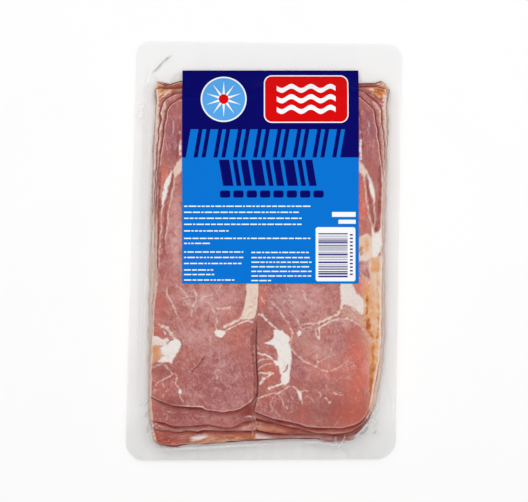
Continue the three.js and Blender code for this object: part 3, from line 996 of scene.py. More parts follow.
LEFT_SECOND: Marks = {
    "peach side": Streak(T.CREAM, 3.6, ((164.6, 104), (161.4, 120), (158.6, 146), (156.4, 200)), 0.8),
    "pink edge": Streak(T.PALE, 1.6, ((164, 104), (161.4, 110), (160.6, 120), (158.6, 133), (157.6, 146),
        (156.6, 160)), 0.8),
    "pale foot": Glow(T.PALE, (212, 418), (34, 3.5), 0.3),
    # red lean below the top rasher's foot, darkened as its painted shadow
    "red foot in the top's painted shadow": Glow(T.CREASE, (190, 414), (50, 9), 0.38),
    "mauve foot": Glow(T.MAUVE, (190, 415), (30, 8), 0.4),
    "coarse foot": Glow(T.COARSE, (175, 414), (26, 9), 0.8),
    "cream upright seam": Streak(T.CREAM, 1.2, ((184.4, 405), (185.4, 412), (184.4, 417.6)), 0.7),
    # a painted glint on the foot
    "pearl": Streak(T.WHITE, 1.4, ((204, 416.4), (206, 416.8)), 0.7),
    "pale fleck": Streak(T.CREAM, 1.8, ((168.6, 411), (171.6, 409.4)), 0.7),
    # painted shade in the pit at the foot of the groove
    "painted shade in the pit": Glow(T.CREASE, (248, 410), (9, 12), 0.9),
    "glint in the pit": Streak(T.WHITE, 1.5, ((246.6, 417), (249, 415.4), (255, 416.4)), 0.8),
    "cream outer side": Streak(T.CREAM, 2.4, ((155, 240), (154.6, 262), (154.8, 290), (153, 310),
        (150.8, 335)), 0.6),
    "lean band by the prong": Streak(T.CREASE, 3.0, ((159.8, 168), (159, 200), (158, 230), (157, 260),
        (156, 280)), 0.5),
    "rosy outer side": Glow(T.WARM, (153, 404), (4, 16), 0.4),
}

LEFT_THIRD: Marks = {
    "cream outer side": Streak(T.CREAM, 5.0, ((156.4, 98), (157.4, 120), (156, 140), (155, 160),
        (154.4, 200), (154, 300)), 0.85),
    "brown flecks": Streak(T.TAN, 1.2, ((158.6, 104), (158, 109), (159.4, 112)), 0.8),
    "smoked corner": Patch(T.TAN, ((154, 84), (174, 84), (182, 88), (172, 92), (166, 96), (160, 100),
        (155, 98)), 0.95),
    "rust in the corner": Streak(T.RUST, 5.0, ((162.4, 92), (166, 90)), 0.7),
    "dark fold in the corner": Streak(T.CREASE, 1.3, ((164, 98.6), (169, 95.4), (174, 92.6), (182, 89.6)),
        0.8),
    "curl in the corner": Streak(T.WHITE, 1.4, ((159.4, 97), (161, 93.6), (165, 92), (169, 91.6)), 0.7),
    "brown hook in the corner": Streak(T.CREASE, 1.2, ((157.6, 101), (159.6, 97.6), (162.4, 96)), 0.75),
    "white line down the corner": Streak(T.WHITE, 1.3, ((157, 94), (158.2, 99), (158.2, 106),
        (157.6, 112)), 0.95),
    "brown line down the corner": Streak(T.CREASE, 1.1, ((155.8, 96), (156.4, 102), (156.4, 110)), 0.6),
    "rust stain in the corner": Patch(T.RUST, ((172, 88.6), (180, 86.6), (180, 90), (173, 91.6)), 0.7),
    "cream fold in the corner": Streak(T.CREAM, 1.3, ((168, 93.8), (174, 90.4), (181, 87)), 0.6),
    "cream foot": Streak(T.CREAM, 1.4, ((157, 425.4), (166, 427), (175, 429), (184, 430.6)), 0.8),
    # a painted glint on the foot
    "painted glint at the foot": Streak(T.WHITE, 1.9, ((184, 431.8), (190, 430.8)), 0.9),
    "pink foot": Glow(T.PALE, (205, 428), (45, 3), 0.6),
    "orange foot": Glow(T.WARM, (225, 430), (30, 4), 0.9),
    "dark foot": Glow(T.CREASE, (168, 431), (16, 3), 0.5),
}

LEFT_BLOCK: Marks = {
    "smoked head": Patch(T.TAN, ((154, 78), (184, 78), (184, 90), (170, 90), (163, 98), (154, 100)), 0.9),
    "rust in the head": Streak(T.RUST, 3.0, ((161, 87), (170, 86.4), (181, 84.6)), 0.6),
    "brown rim of the head": Streak(T.CREASE, 1.3, ((155, 90), (156.4, 84.4), (158.4, 82), (161, 84),
        (165, 85.6)), 0.3),
    "brown spots in the head": Streak(T.CREASE, 1.4, ((158.6, 87.6), (161.6, 89)), 0.7),
    "dark fold in the head": Streak(T.CREASE, 1.2, ((168, 88.6), (174, 89.4), (180, 88.4)), 0.8),
    "cream fold in the head": Streak(T.CREAM, 1.2, ((160, 84.6), (166, 84.2), (172, 85.4), (178, 83.2)),
        0.7),
    "cream side": Streak(T.CREAM, 3.0, ((155, 100), (153.6, 160), (153, 240), (151.6, 330)), 0.8),
    "red corner": Glow(T.CREASE, (168, 439), (15, 9), 0.68),
    "red corner's warmth": Glow(T.WARM, (168, 440), (16, 9), 0.7),
    "rusty foot": Patch(T.RUST, ((183, 430), (256, 429), (256, 448), (183, 448)), 0.6),
    "smoked foot": Glow(T.TAN, (222, 436), (22, 5), 0.8),
    "pink in the foot": Patch(T.LEAN, ((208.6, 433), (214, 439), (209, 441), (206, 436)), 0.5),
    "fat patch in the foot": Patch(T.WHITE, ((190.4, 437.6), (197, 434), (203, 433), (207.6, 432.8),
        (207.8, 436), (203, 438.4), (196, 440.8), (191, 441))),
    "brown fold beside the red corner": Streak(T.CREASE, 1.3, ((185, 434), (188.4, 438), (186.6, 444)),
        0.7),
    "lean streak of the foot": Streak(T.LEAN, 2.2, ((216, 438), (224, 441.4), (232, 441)), 0.6),
    "cream streak of the foot": Streak(T.CREAM, 1.6, ((226, 434), (234, 435.6), (241, 438)), 0.6),
    "brown streak of the foot": Streak(T.CREASE, 1.1, ((214, 434.4), (222, 436.6), (230, 438.6)), 0.55),
    "cream bottom edge": Streak(T.CREAM, 1.3, ((186, 444.4), (200, 443.6), (216, 442.4), (240, 440.6)),
        0.6),
    "dark knobs of the corner": Streak(T.CREASE, 1.6, ((158, 436), (160, 441), (165, 444)), 0.5),
    "yellow corner of the foot": Patch(T.TAN, ((246, 431.6), (256, 431), (257, 437), (250, 439),
        (245, 436)), 0.9),
    "dark fold by the seam": Streak(T.CREASE, 1.4, ((246, 421), (247, 427), (250, 431), (246, 433)), 0.8),
    "cream fleck": Streak(T.CREAM, 1.1, ((209, 439), (215, 441.4)), 0.6),
}

RIGHT_SECOND: Marks = {
    "peach side": Streak(T.CREAM, 3.4, ((373.6, 103), (379.6, 112), (380.4, 124), (383, 146),
        (383.4, 185)), 0.45),
    "pink edge": Streak(T.PALE, 1.6, ((376, 104), (380.6, 111), (381.4, 122), (383, 133), (384, 146),
        (384, 160)), 0.8),
    # painted shadow below the top rasher's foot
    "dark foot": Glow(T.CREASE, (280, 420), (24, 5), 0.7),
    "cream line of the foot": Streak(T.CREAM, 1.3, ((281, 424), (290, 425.8), (300, 427.8), (308, 430.2),
        (318, 432), (335, 432.6), (350, 431), (360, 426.4)), 0.8),
    "pearl of the foot": Streak(T.WHITE, 1.8, ((289.6, 424.6), (291.4, 425.6)), 0.8),
    "rusty foot": Glow(T.WARM, (330, 430), (34, 4), 0.8),
    "smoked foot": Streak(T.TAN, 1.6, ((312, 429.4), (330, 430), (348, 428), (360, 422.6)), 0.7),
    "cream outer side": Streak(T.CREAM, 3.0, ((384.6, 160), (384, 200), (383, 240), (383, 320),
        (382, 360)), 0.7),
    "cream low side": Streak(T.CREAM, 6.0, ((382, 350), (379, 372), (376, 388), (372, 404), (367, 417)),
        0.75),
    "smoke on the low side": Streak(T.TAN, 1.6, ((379.4, 352), (377, 372), (374, 390), (371, 404)), 0.6),
}

RIGHT_THIRD: Marks = {
    "cream outer side": Streak(T.CREAM, 5.0, ((384, 100), (384.6, 120), (385.6, 150), (385, 200),
        (384, 300), (378, 385), (371, 412)), 0.85),
    "brown flecks": Streak(T.TAN, 1.3, ((384, 106), (383.6, 111), (384.6, 119)), 0.8),
    "smoked corner": Patch(T.TAN, ((388, 82), (366, 82), (357, 86), (368, 90), (374, 94), (380, 98.6),
        (387, 97)), 0.95),
    "rust in the corner": Streak(T.RUST, 5.0, ((376, 90.6), (380, 93.6)), 0.7),
    "dark fold in the corner": Streak(T.CREASE, 1.3, ((378, 99), (373, 94.6), (366, 91.6), (357, 88.6)),
        0.8),
    "curl in the corner": Streak(T.WHITE, 1.4, ((384, 97), (382, 92.6), (376, 90.4), (370, 90)), 0.7),
    "brown hook in the corner": Streak(T.CREASE, 1.2, ((384.6, 92), (381, 96), (380.4, 100)), 0.75),
    "white line down the corner": Streak(T.WHITE, 1.2, ((384, 98), (383.4, 104), (384, 112), (385, 120)),
        0.8),
    "rust stain in the corner": Patch(T.RUST, ((376, 88.6), (384, 88), (384, 92), (378, 93)), 0.7),
    "rusty foot": Patch(T.RUST, ((246, 423), (276, 424), (300, 430), (320, 433), (300, 437), (246, 434)),
        0.62),
    "dark streak of the foot": Streak(T.CREASE, 1.6, ((250, 428), (262, 431.6), (284, 432), (310, 433)),
        0.6),
    "lean foot": Glow(T.CREASE, (330, 434), (30, 2.4), 0.5),
}

RIGHT_BLOCK: Marks = {
    "smoked head": Patch(T.TAN, ((389, 78), (356, 78), (356, 90), (370, 90), (377, 98), (389, 98)), 0.9),
    "rust in the head": Streak(T.RUST, 3.0, ((380, 87), (372, 87), (362, 86)), 0.6),
    "brown rim of the head": Streak(T.CREASE, 1.3, ((389, 92), (387, 86.6), (382.6, 82.4), (378, 84.4),
        (370, 84.6)), 0.3),
    "brown spots in the head": Streak(T.CREASE, 1.4, ((380.6, 87.6), (377.6, 86.4)), 0.7),
    "dark fold in the head": Streak(T.CREASE, 1.2, ((358, 87.6), (366, 88.8), (372, 87.4)), 0.8),
    "cream fold in the head": Streak(T.CREAM, 1.3, ((376, 85.4), (382, 83.4), (386, 86.6)), 0.7),
    "pink side of the head": Streak(T.LEAN, 2.4, ((387.6, 88), (389.4, 93), (388, 99)), 0.8),
    "cream side": Streak(T.CREAM, 3.0, ((387.4, 104), (387, 160), (385, 240), (385, 340), (378, 392),
        (371, 415)), 0.8),
    "pale foot": Patch(T.WHITE, ((256, 433), (356, 433), (356, 437.4), (322, 438.6), (300, 438),
        (276, 437), (256, 440)), 0.7),
    "pink line of the foot": Streak(T.LEAN, 1.4, ((256, 441), (274, 439.4), (290, 438.4)), 0.7),
    "pink bar of the foot": Streak(T.LEAN, 2.0, ((320, 440.4), (334, 440.8), (351, 440.2)), 0.8),
    "smoked left end of the foot": Streak(T.TAN, 3.0, ((248, 435), (256, 435)), 0.8),
}


# Rashers


class Contour:
    """A smooth line through a few places: the value at each position."""

    SAMPLES = 320
    WINDOW = 5

    def __init__(self, *places: Place) -> None:
        """Rounds the corners of the line through the places, given as (position, value)."""
        at, values = zip(*places)
        self.at = np.linspace(at[0], at[-1], self.SAMPLES)
        padded = np.pad(np.interp(self.at, at, values), self.WINDOW // 2, mode="edge")
        self.values = np.convolve(padded, np.ones(self.WINDOW) / self.WINDOW, mode="valid")

    def __call__(self, position: Array) -> Array:
        """The value at each position, level beyond the ends."""
        return np.interp(position, self.at, self.values)


class Row(Enum):
    """The two rows of rashers that lie side by side."""

    LEFT = -1
    RIGHT = 1


class Step(Enum):
    """The steps that the ends and outer edges of the rashers make, from the top down."""

    TOP = 0
    SECOND = 1
    THIRD = 2
    BLOCK = 3


@dataclass(frozen=True)
class StepPlan:
    """Outline and marks of one step of a row, in pixels of the photograph.

    outer gives the column of the long outer edge at each row; foot and head the row of each end at
    each column.
    """

    outer: Contour
    head: Contour
    foot: Contour
    marks: Marks


INNER_EDGE: dict[Row, Contour] = {
    Row.LEFT: Contour((84, 257), (250, 258.6), (312, 258.4), (322, 256.6), (345, 256), (365, 256.6),
        (380, 257.6), (395, 257.2), (410, 256), (446, 256)),
    Row.RIGHT: Contour((84, 257.1), (250, 258.7), (312, 258.5), (322, 256.7), (345, 256.1), (365, 256.7),
        (380, 257.7), (395, 257.2), (410, 253.6), (420, 251), (446, 251)),
}

PLANS: dict[Row, dict[Step, StepPlan]] = {
    Row.LEFT: {
        Step.TOP: StepPlan(
            Contour((100, 181), (102, 176), (104.5, 171.5), (108, 168.6), (113, 167), (119, 166.9),
                (124, 165), (130, 163.9), (136, 164.2), (142, 162.6), (150, 161.6), (160, 160.4),
                (170, 158.6), (200, 156.8), (240, 156.2), (262, 155.2), (290, 155.4), (310, 153.4),
                (335, 152), (366, 150.6), (395, 150), (412, 151)),
            Contour((160, 101), (182, 99.6), (200, 98), (258, 97)),
            Contour((148, 395), (160, 401), (170, 404.6), (184, 406.6), (202, 407.2), (208, 410.4),
                (225, 412), (240, 409), (250, 402.6), (254, 398), (258, 391)),
            LEFT_TOP),
        Step.SECOND: StepPlan(
            Contour((94, 178), (96, 172), (99, 167), (103, 164), (108, 161.8), (114, 161), (120, 161.6),
                (126, 159.4), (133, 158.8), (138, 159.6), (146, 157.8), (154, 157.2), (170, 156.6),
                (200, 155.4), (240, 154.8), (290, 153.6), (335, 150.6), (395, 149.6), (430, 152)),
            Contour((158, 97), (170, 95.4), (182, 93.6), (258, 91)),
            Contour((148, 419), (156, 421.6), (166, 423.2), (171, 425.6), (182, 426.2), (200, 424.8),
                (211, 423.4), (217, 426.2), (228, 427.4), (236, 426.2), (243, 422), (258, 420)),
            LEFT_SECOND),
        Step.THIRD: StepPlan(
            Contour((86, 157.5), (92, 156), (100, 156.6), (110, 156.6), (120, 155.8), (135, 155),
                (160, 154.4), (200, 153.4), (250, 152.6), (330, 150), (395, 149), (432, 152)),
            Contour((152, 91), (160, 88.6), (168, 89.4), (182, 88.6), (258, 86)),
            Contour((148, 427), (160, 430), (175, 431.4), (200, 430.6), (215, 430), (232, 431),
                (258, 430)),
            LEFT_THIRD),
        Step.BLOCK: StepPlan(
            Contour((80, 157), (86, 155), (92, 153.6), (100, 155), (112, 155.4), (127, 154), (157, 152.6),
                (200, 151.4), (250, 150.3), (330, 148.6), (395, 148.2), (420, 149.8), (440, 152.8),
                (448, 154.4)),
            Contour((152, 86), (157, 80.6), (161, 82.4), (166, 84.4), (172, 83.4), (178, 81.4),
                (258, 80)),
            Contour((150, 437), (156, 443), (161, 446.8), (166, 446.2), (172, 447.2), (178, 446.6),
                (184, 444.6), (197, 444.6), (212, 443.8), (235, 441.8), (258, 440.6)),
            LEFT_BLOCK),
    },
    Row.RIGHT: {
        Step.TOP: StepPlan(
            Contour((98, 359), (101, 362.6), (104.4, 367), (107.6, 371.6), (111, 374), (118, 374.6),
                (123, 375), (128, 376.8), (136, 377.4), (139, 377.6), (144.6, 379), (152, 379.6),
                (160, 380.4), (168, 382), (185, 382.8), (225, 382.2), (260, 382), (300, 381.6),
                (340, 381), (360, 379), (375, 376.2), (387, 373.8), (396, 372.4), (405, 371), (428, 367)),
            Contour((257, 95), (350, 96.6), (372, 98.6), (384, 100)),
            Contour((248, 408), (254, 410.6), (262, 414.4), (271, 417.8), (285, 420.8), (297, 422.8),
                (304, 425.4), (310, 427.2), (330, 428), (340, 427.8), (348, 426.6), (354, 424.6),
                (360, 421.6), (364.6, 417.4), (368.4, 411), (372, 401), (375, 391)),
            RIGHT_TOP),
        Step.SECOND: StepPlan(
            Contour((90, 360), (95, 365), (99, 369.6), (102.6, 375), (107, 379), (111.4, 381),
                (123, 381.8), (132, 383), (146, 384.4), (158, 384.4), (185, 384.6), (225, 383.4),
                (260, 383.2), (300, 383.2), (340, 382.8), (360, 381.4), (376, 379.2), (388, 376.8),
                (398, 375), (409, 372.8), (430, 369)),
            Contour((257, 89), (358, 91), (370, 94.6), (384, 96)),
            Contour((248, 416), (262, 419.4), (272, 422), (281, 424.4), (290, 426.2), (300, 428.2),
                (308, 430.8), (318, 432.8), (335, 433.4), (345, 432.6), (352, 430.6), (358, 427.4),
                (364, 422.6), (368.6, 416.6), (372, 409), (375, 398)),
            RIGHT_SECOND),
        Step.THIRD: StepPlan(
            Contour((86, 383), (92, 386.4), (100, 386), (110, 386), (125, 386.4), (140, 386.6),
                (170, 386.2), (215, 384.4), (250, 384), (300, 384.4), (340, 384.2), (360, 382.4),
                (376, 380.2), (390, 377.6), (400, 375.8), (410, 373.8), (435, 369)),
            Contour((257, 85), (360, 88), (376, 87.6), (388, 90)),
            Contour((248, 427), (262, 431.4), (275, 433.2), (300, 433.8), (330, 434.6), (345, 434.8),
                (352, 433), (358, 429.8), (364, 424.6), (369, 418.4), (373, 409), (378, 395)),
            RIGHT_THIRD),
        Step.BLOCK: StepPlan(
            Contour((78, 383), (85, 387.4), (91, 390.2), (97, 389), (104, 387.4), (120, 388.4),
                (132, 388.2), (156, 387.2), (200, 386), (245, 384.4), (275, 385), (340, 385), (360, 383),
                (376, 381), (394, 377.8), (409, 374.8), (442, 369)),
            Contour((257, 80), (357, 83.4), (374, 83.2), (381, 80.6), (385, 83.6), (390, 90)),
            Contour((248, 441), (256, 440.8), (275, 439.6), (300, 438.8), (317, 438.6), (321, 441.2),
                (335, 441.6), (350, 441.2), (353, 440), (361, 430.8), (368, 421.8), (374, 409.4),
                (379, 395)),
            RIGHT_BLOCK),
    },
}


@dataclass(frozen=True)
class Layer:
    """One layer of the stack: its step, and how far it draws back from it, in pixels."""

    step: Step
    side_back: float = 0.0
    foot_back: float = 0.0
    head_back: float = 0.0


LAYERS: tuple[Layer, ...] = (
    Layer(Step.BLOCK, 6.5, 12.0, 9.0),
    Layer(Step.BLOCK, 4.0, 7.0, 5.0),
    Layer(Step.BLOCK, 2.0, 4.0, 2.5),
    Layer(Step.BLOCK, 0.8, 2.0, 1.0),
    Layer(Step.BLOCK, 0.0, 0.6, 0.3),
    Layer(Step.BLOCK),
    Layer(Step.BLOCK, 0.1, 0.3, 0.4),
    Layer(Step.BLOCK, 1.0, 1.2, 1.6),
    Layer(Step.THIRD),
    Layer(Step.SECOND),
    Layer(Step.TOP),
)


@dataclass(frozen=True)
class Stack:
    """Heights of the stacked rashers, in millimetres."""

    base: float = 0.35
    pitch: float = 2.18
    thickness: float = 2.1
    least_rise: float = 0.4
    groove_depth: float = 1.3
    groove_width: float = 2.6
    groove_start_px: float = 312.0
    groove_run_px: float = 22.0
    joined_px: float = 2.5
    swell: float = 0.45
    swell_across: float = 17.0
    swell_along: float = 21.0
    swell_phase: float = 1.3
    swell_power: float = 1.5
    top_round: float = 1.0
    low_round: float = 0.4
    under_round: float = 0.7
    crease_shade_depth: float = 0.35
    fat_rise: float = 0.12
    muscle_rise: float = 0.25
    muscle_size_px: float = 2.5

    @property
    def count(self) -> int:
        """How many layers each row has."""
        return len(LAYERS)

    def sway(self, level: int, x: Array, y: Array) -> Array:
        """How far a layer dips and swells: nothing at the bottom, most on top.

        Args:
            level: number of the layer, from 0 at the bottom.
            x: places across, in millimetres.
            y: places along.

        Returns:
            Height for each place.
        """
        share = ((level + 1) / self.count) ** self.swell_power
        _, py = PHOTO.pixels(x, y)
        middle = PHOTO.x(INNER_EDGE[Row.LEFT](py))
        groove = self.groove_depth * bell(x - middle, self.groove_width)
        swell = self.swell * np.sin(x / self.swell_across + self.swell_phase)
        swell = swell * np.cos(y / self.swell_along - self.swell_phase)
        return share * (swell - groove * self.parted(py))

    def parted(self, py: Array) -> Array:
        """How far the two rows part at a pixel row: not at all above the groove."""
        return ease((py - self.groove_start_px) / self.groove_run_px)


STACK = Stack()


@dataclass(frozen=True)
class Spacing:
    """Grid lines along one direction: fine at both ends and coarse between, in millimetres."""

    length: float
    low_margin: float
    high_margin: float
    fine: float
    coarse: float

    @property
    def marks(self) -> Array:
        """Places of the grid lines, from 0 to 1.

        Returns:
            The places, in order.
        """
        low = np.arange(0, self.low_margin, self.fine)
        high = self.length - np.arange(0, self.high_margin, self.fine)[::-1]
        count = max(2, round((high[0] - self.low_margin) / self.coarse) + 1)
        middle = np.linspace(self.low_margin, high[0], count)[:-1]
        return np.concatenate([low, middle, high]) / self.length

    @property
    def segments(self) -> int:
        """How many cells lie along the direction."""
        return len(self.marks) - 1

    def spread(self, share: Array) -> Array:
        """Moves evenly spaced places from 0 to 1 onto the grid lines."""
        marks = self.marks
        return np.interp(share, np.linspace(0, 1, len(marks)), marks)


@dataclass(frozen=True)
class EdgeTones:
    """How the meat is toned near its edges: painted highlights on the rounded edges and crumpled ends,
    painted shade on the rims, in the groove, in the crumples' folds and under the rasher above, and the
    cream, smoked outer side.

    A fade is (start, run) in millimetres from the edge. A stain, gate or depth is (even, uneven):
    an even share, and how much of a noise comes on top. rim_shade_share and light_share are in shares of
    the rounding's radius, and names that end in px are in pixels.
    """

    back_shift_px: float = 14.0
    rim_shade_share: Place = (0.1, 0.25)
    light_share: Place = (0.75, 0.35)
    groove_shade_fade: Place = (0.0, 1.6)
    left_start_px: float = 200.0
    right_start_px: float = 155.0
    start_run_px: float = 30.0
    side_fade: Place = (0.7, 1.0)
    side_cream: float = 0.7
    side_stain: Place = (0.22, 0.35)
    side_highlight: float = 0.7
    side_highlight_fade: Place = (0.0, 0.6)
    top_highlight_pale: float = 0.6
    top_highlight_fat: float = 0.3
    top_groove_shade: float = 0.75
    top_rim_shade: float = 0.7
    low_highlight_pale: float = 0.75
    low_highlight_fat: float = 0.45
    low_rim_shade: float = 0.6
    rind_gate: Place = (0.7, 1.4)
    rind_fade: Place = (0.5, 1.2)
    rind_from_end: float = 0.6
    rind_cream: float = 0.8
    rind_stain: Place = (0.12, 0.35)
    end_fade_px: Place = (9.0, 6.0)
    crumple_stretch: Place = (1.2, 1.6)
    crumple_light: float = 0.36
    crumple_width: float = 0.16
    crumple_highlight: float = 0.9
    crumple_shade: float = 0.7
    crease_shade_depth: Place = (0.94, 0.3)
    shade_stretch: float = 1.7
    shade_reach: float = 0.75
    shade_reach_gain: float = 2.1
    shade_reach_fade: Place = (3.0, 6.0)
    open_fade: Place = (0.0, 3.0)
    open_shade: float = 0.45
    open_block: float = 0.85
    pale_side_shade: float = 0.9
    pale_side_fade: Place = (1.5, 1.4)
    shade_lean: float = 0.8


TONES = EdgeTones()


@dataclass(frozen=True)
class Spots:
    """Places on a rasher, in pixels, and how far they lie from its edges, in millimetres."""

    px: Array
    py: Array
    edge: Array
    outer: Array
    inner: Array


class Rasher:
    """One rasher: a slab with rounded edges that follows the layers under it.

    WIDTH, LENGTH and VISIBLE_FOOT are in millimetres, and only set how fine the grid is. LABEL_PX
    gives the label's left, right and lower edge in pixels, with the run over which relief fades out.
    The cells of the noises and the waviness are in pixels too. RIPPLE_APART keeps the ripple of the
    foot from being that of the side.
    """

    WIDTH = 72.0
    LENGTH = 235.0
    VISIBLE_FOOT = 92.0
    ROUNDS = 7
    MIDDLE_ROW = 250.0
    LABEL_PX = ((180.0, 4.0), (360.0, 4.0), (286.0, 6.0))
    HIDDEN_LEVELS = 6
    LOOSE = 0.7
    WOBBLE_CELLS = (9.0, 12.0, 15.0, 18.0)
    RIPPLE_CELL, GATE_CELL, RELIEF_CELL = 6.0, 17.0, 5.0
    RIPPLE_APART = 40
    TOP_WAVINESS, LOW_WAVINESS = 0.45, 0.75
    TOP_MARBLING, LOW_MARBLING = 0.45, 0.6
    INNER_WOBBLE, FOOT_WOBBLE, HEAD_WOBBLE = 0.6, 0.6, 1.2

    def __init__(self, row: Row, level: int, above: "Rasher | None") -> None:
        """Works out its outline and its grid.

        Args:
            row: the row it lies in.
            level: number of its layer, from 0 at the bottom.
            above: the rasher that lies on it.
        """
        self.row, self.level, self.above = row, level, above
        self.layer = LAYERS[level]
        self.plan = PLANS[row][self.layer.step]
        seed = 100 * (level + 1) + row.value
        self.loose = self.LOOSE if self.layer.step is Step.BLOCK else 0.0
        self.wobbles = [Speckle(seed + 10 * i, cell) for i, cell in enumerate(self.WOBBLE_CELLS)]
        self.ripple = Speckle(seed + 80, self.RIPPLE_CELL)
        self.gate = Speckle(seed + 50, self.GATE_CELL)
        self.relief = Speckle(seed + 70, self.RELIEF_CELL)
        marks = PLANS[row][Step.TOP].marks if level == 0 else self.plan.marks
        self.face = Face(marks, seed + 60, self.TOP_MARBLING if above is None else self.LOW_MARBLING)
        self.round = STACK.top_round if above is None else STACK.low_round
        self.waviness = self.TOP_WAVINESS if above is None else self.LOW_WAVINESS
        self.across, self.along = self.spacings()

    @property
    def name(self) -> str:
        """The piece's name."""
        return f"rasher_{self.row.name.lower()}_{self.level + 1:02d}"

    def spacings(self) -> tuple[Spacing, Spacing]:
        """Grid lines across and along: fine where the rasher shows.

        Returns:
            The spacing across and the one along.
        """
        if self.above is None:
            return (Spacing(self.WIDTH, 3, 3, 0.35, 0.52),
                    Spacing(self.LENGTH, self.VISIBLE_FOOT, 8, 0.52, 1.2))
        if self.level == 0:
            return Spacing(self.WIDTH, 3, 3, 0.8, 1.5), Spacing(self.LENGTH, 3, 3, 0.8, 1.6)
        if self.level < self.HIDDEN_LEVELS:
            return Spacing(self.WIDTH, 2, 2, 0.7, 8), Spacing(self.LENGTH, 2, 2, 0.7, 3)
        margins = (12, 5) if self.row is Row.LEFT else (5, 12)
        return Spacing(self.WIDTH, *margins, 0.4, 4), Spacing(self.LENGTH, 36, 18, 0.5, 1.5)

    def sides(self, py: Array) -> tuple[Array, Array]:
        """Columns of the rasher's left and right edges at each row.

        Args:
            py: pixel rows of the places.

        Returns:
            The two columns for each row.
        """
        side = self.row.value
        outer = self.plan.outer(py) - side * self.layer.side_back
        outer = outer + self.loose * self.wobbles[0].at(py, 0 * py)
        outer = outer + self.waviness * self.ripple.at(py, 0 * py)
        wobble = self.INNER_WOBBLE * self.loose * self.wobbles[1].at(py, 0 * py)
        inner = INNER_EDGE[self.row](py) + wobble
        return (outer, inner) if self.row is Row.LEFT else (inner, outer)

    def ends(self, px: Array) -> tuple[Array, Array]:
        """Rows of the rasher's foot and head at each column.

        Args:
            px: pixel columns of the places.

        Returns:
            The two rows for each column.
        """
        foot = self.plan.foot(px) - self.layer.foot_back
        head = self.plan.head(px) + self.layer.head_back
        foot = foot + self.FOOT_WOBBLE * self.loose * self.wobbles[2].at(px, 0 * px)
        foot = foot + self.waviness * self.ripple.at(px, self.RIPPLE_APART + 0 * px)
        return foot, head + self.HEAD_WOBBLE * self.loose * self.wobbles[3].at(px, 0 * px)

    def place(self, u: Array, v: Array) -> tuple[Array, Array]:
        """Pixel places of a unit square's points, with v from the foot to the head.

        Args:
            u: shares across, from 0 to 1.
            v: shares along.

        Returns:
            The pixel columns and rows.
        """
        left, right = self.sides(self.MIDDLE_ROW + 0 * v)
        for _ in range(self.ROUNDS):
            px = lerp(left, right, u)
            foot, head = self.ends(px)
            py = lerp(foot, head, v)
            left, right = self.sides(py)
        return lerp(left, right, u), py

    def inset(self, px: Array, py: Array) -> Array:
        """Millimetres from the nearest edge, negative outside the rasher.

        Args:
            px: pixel columns of the places.
            py: pixel rows of the places.

        Returns:
            One distance for each place.
        """
        left, right = self.sides(py)
        foot, head = self.ends(px)
        joined = STACK.joined_px * (1 - STACK.parted(py))
        from_left, from_right = px - left, right - px
        if self.row is Row.LEFT:
            from_right = from_right + joined
        else:
            from_left = from_left + joined
        return np.minimum.reduce([from_left, from_right, foot - py, py - head]) * PHOTO.mm_per_pixel

    def heights(self, px: Array, py: Array, edge: Array) -> tuple[Array, Array]:
        """Heights of the underside and the top, in millimetres.

        Args:
            px: pixel columns of the places.
            py: pixel rows of the places.
            edge: millimetres from the rasher's edge.

        Returns:
            The underside's and the top's height at each place.
        """
        x, y = PHOTO.x(px), PHOTO.y(py)
        low = STACK.base + STACK.pitch * self.level + STACK.sway(self.level, x, y)
        if self.level:
            low = np.maximum(low, STACK.base + STACK.least_rise)
        near = np.clip(1 - edge / self.round, 0, 1)
        rounding = 0.5 * STACK.thickness * (1 - np.sqrt(1 - near * near))
        return low + rounding * STACK.under_round, low + STACK.thickness - rounding

    def build(self) -> bpy.types.Object:
        """Models the rasher.

        Returns:
            Its object, with the tissue channels on its vertices.
        """
        bm = bmesh.new()
        bmesh.ops.create_grid(
            bm, x_segments=self.across.segments, y_segments=self.along.segments, size=0.5)
        grown = bmesh.ops.extrude_face_region(bm, geom=bm.faces[:])
        upper = [part for part in grown["geom"] if isinstance(part, bmesh.types.BMVert)]
        bmesh.ops.translate(bm, verts=upper, vec=(0, 0, 1))
        mesh = mesh_from(bm, self.name)
        at = read_places(mesh)
        px, py = self.place(self.across.spread(at[:, 0] + 0.5), self.along.spread(at[:, 1] + 0.5))
        edge = np.maximum(self.inset(px, py), 0)
        tissue = self.tissue(px, py, edge)
        low, high = self.heights(px, py, edge)
        high = high + self.grain_height(px, py, tissue)
        z = np.where(at[:, 2] > 0.5, high, low)
        write_places(mesh, np.stack([PHOTO.x(px), PHOTO.y(py), z], axis=1) * MM)
        face_outwards(mesh)
        for name, values in tissue.items():
            write_attribute(mesh, name, values)
        return finished(mesh, self.name)

    @property
    def low(self) -> bool:
        """Whether the rasher lies in the lower steps, which crumple at their ends."""
        return self.layer.step in (Step.BLOCK, Step.THIRD)

    def spots(self, px: Array, py: Array, edge: Array) -> Spots:
        """Measures places from the two long edges as well.

        Args:
            px: pixel columns of the places.
            py: pixel rows of the places.
            edge: millimetres from the rasher's edge.

        Returns:
            The places with their distances.
        """
        outer, inner = (np.abs(px - side) * PHOTO.mm_per_pixel for side in self.sides(py))
        if self.row is Row.RIGHT:
            outer, inner = inner, outer
        return Spots(px, py, edge, outer, inner)

    def marked(self, px: Array, py: Array) -> Channels:
        """The marks' channels: the lowest rasher shows the marks of the top one, mirrored.

        Args:
            px: pixel columns of the places.
            py: pixel rows of the places.

        Returns:
            One array for each channel.
        """
        if self.level:
            return self.face.paint(px, py)
        left, right = self.sides(py)
        return self.face.paint(left + right - px, py - TONES.back_shift_px)

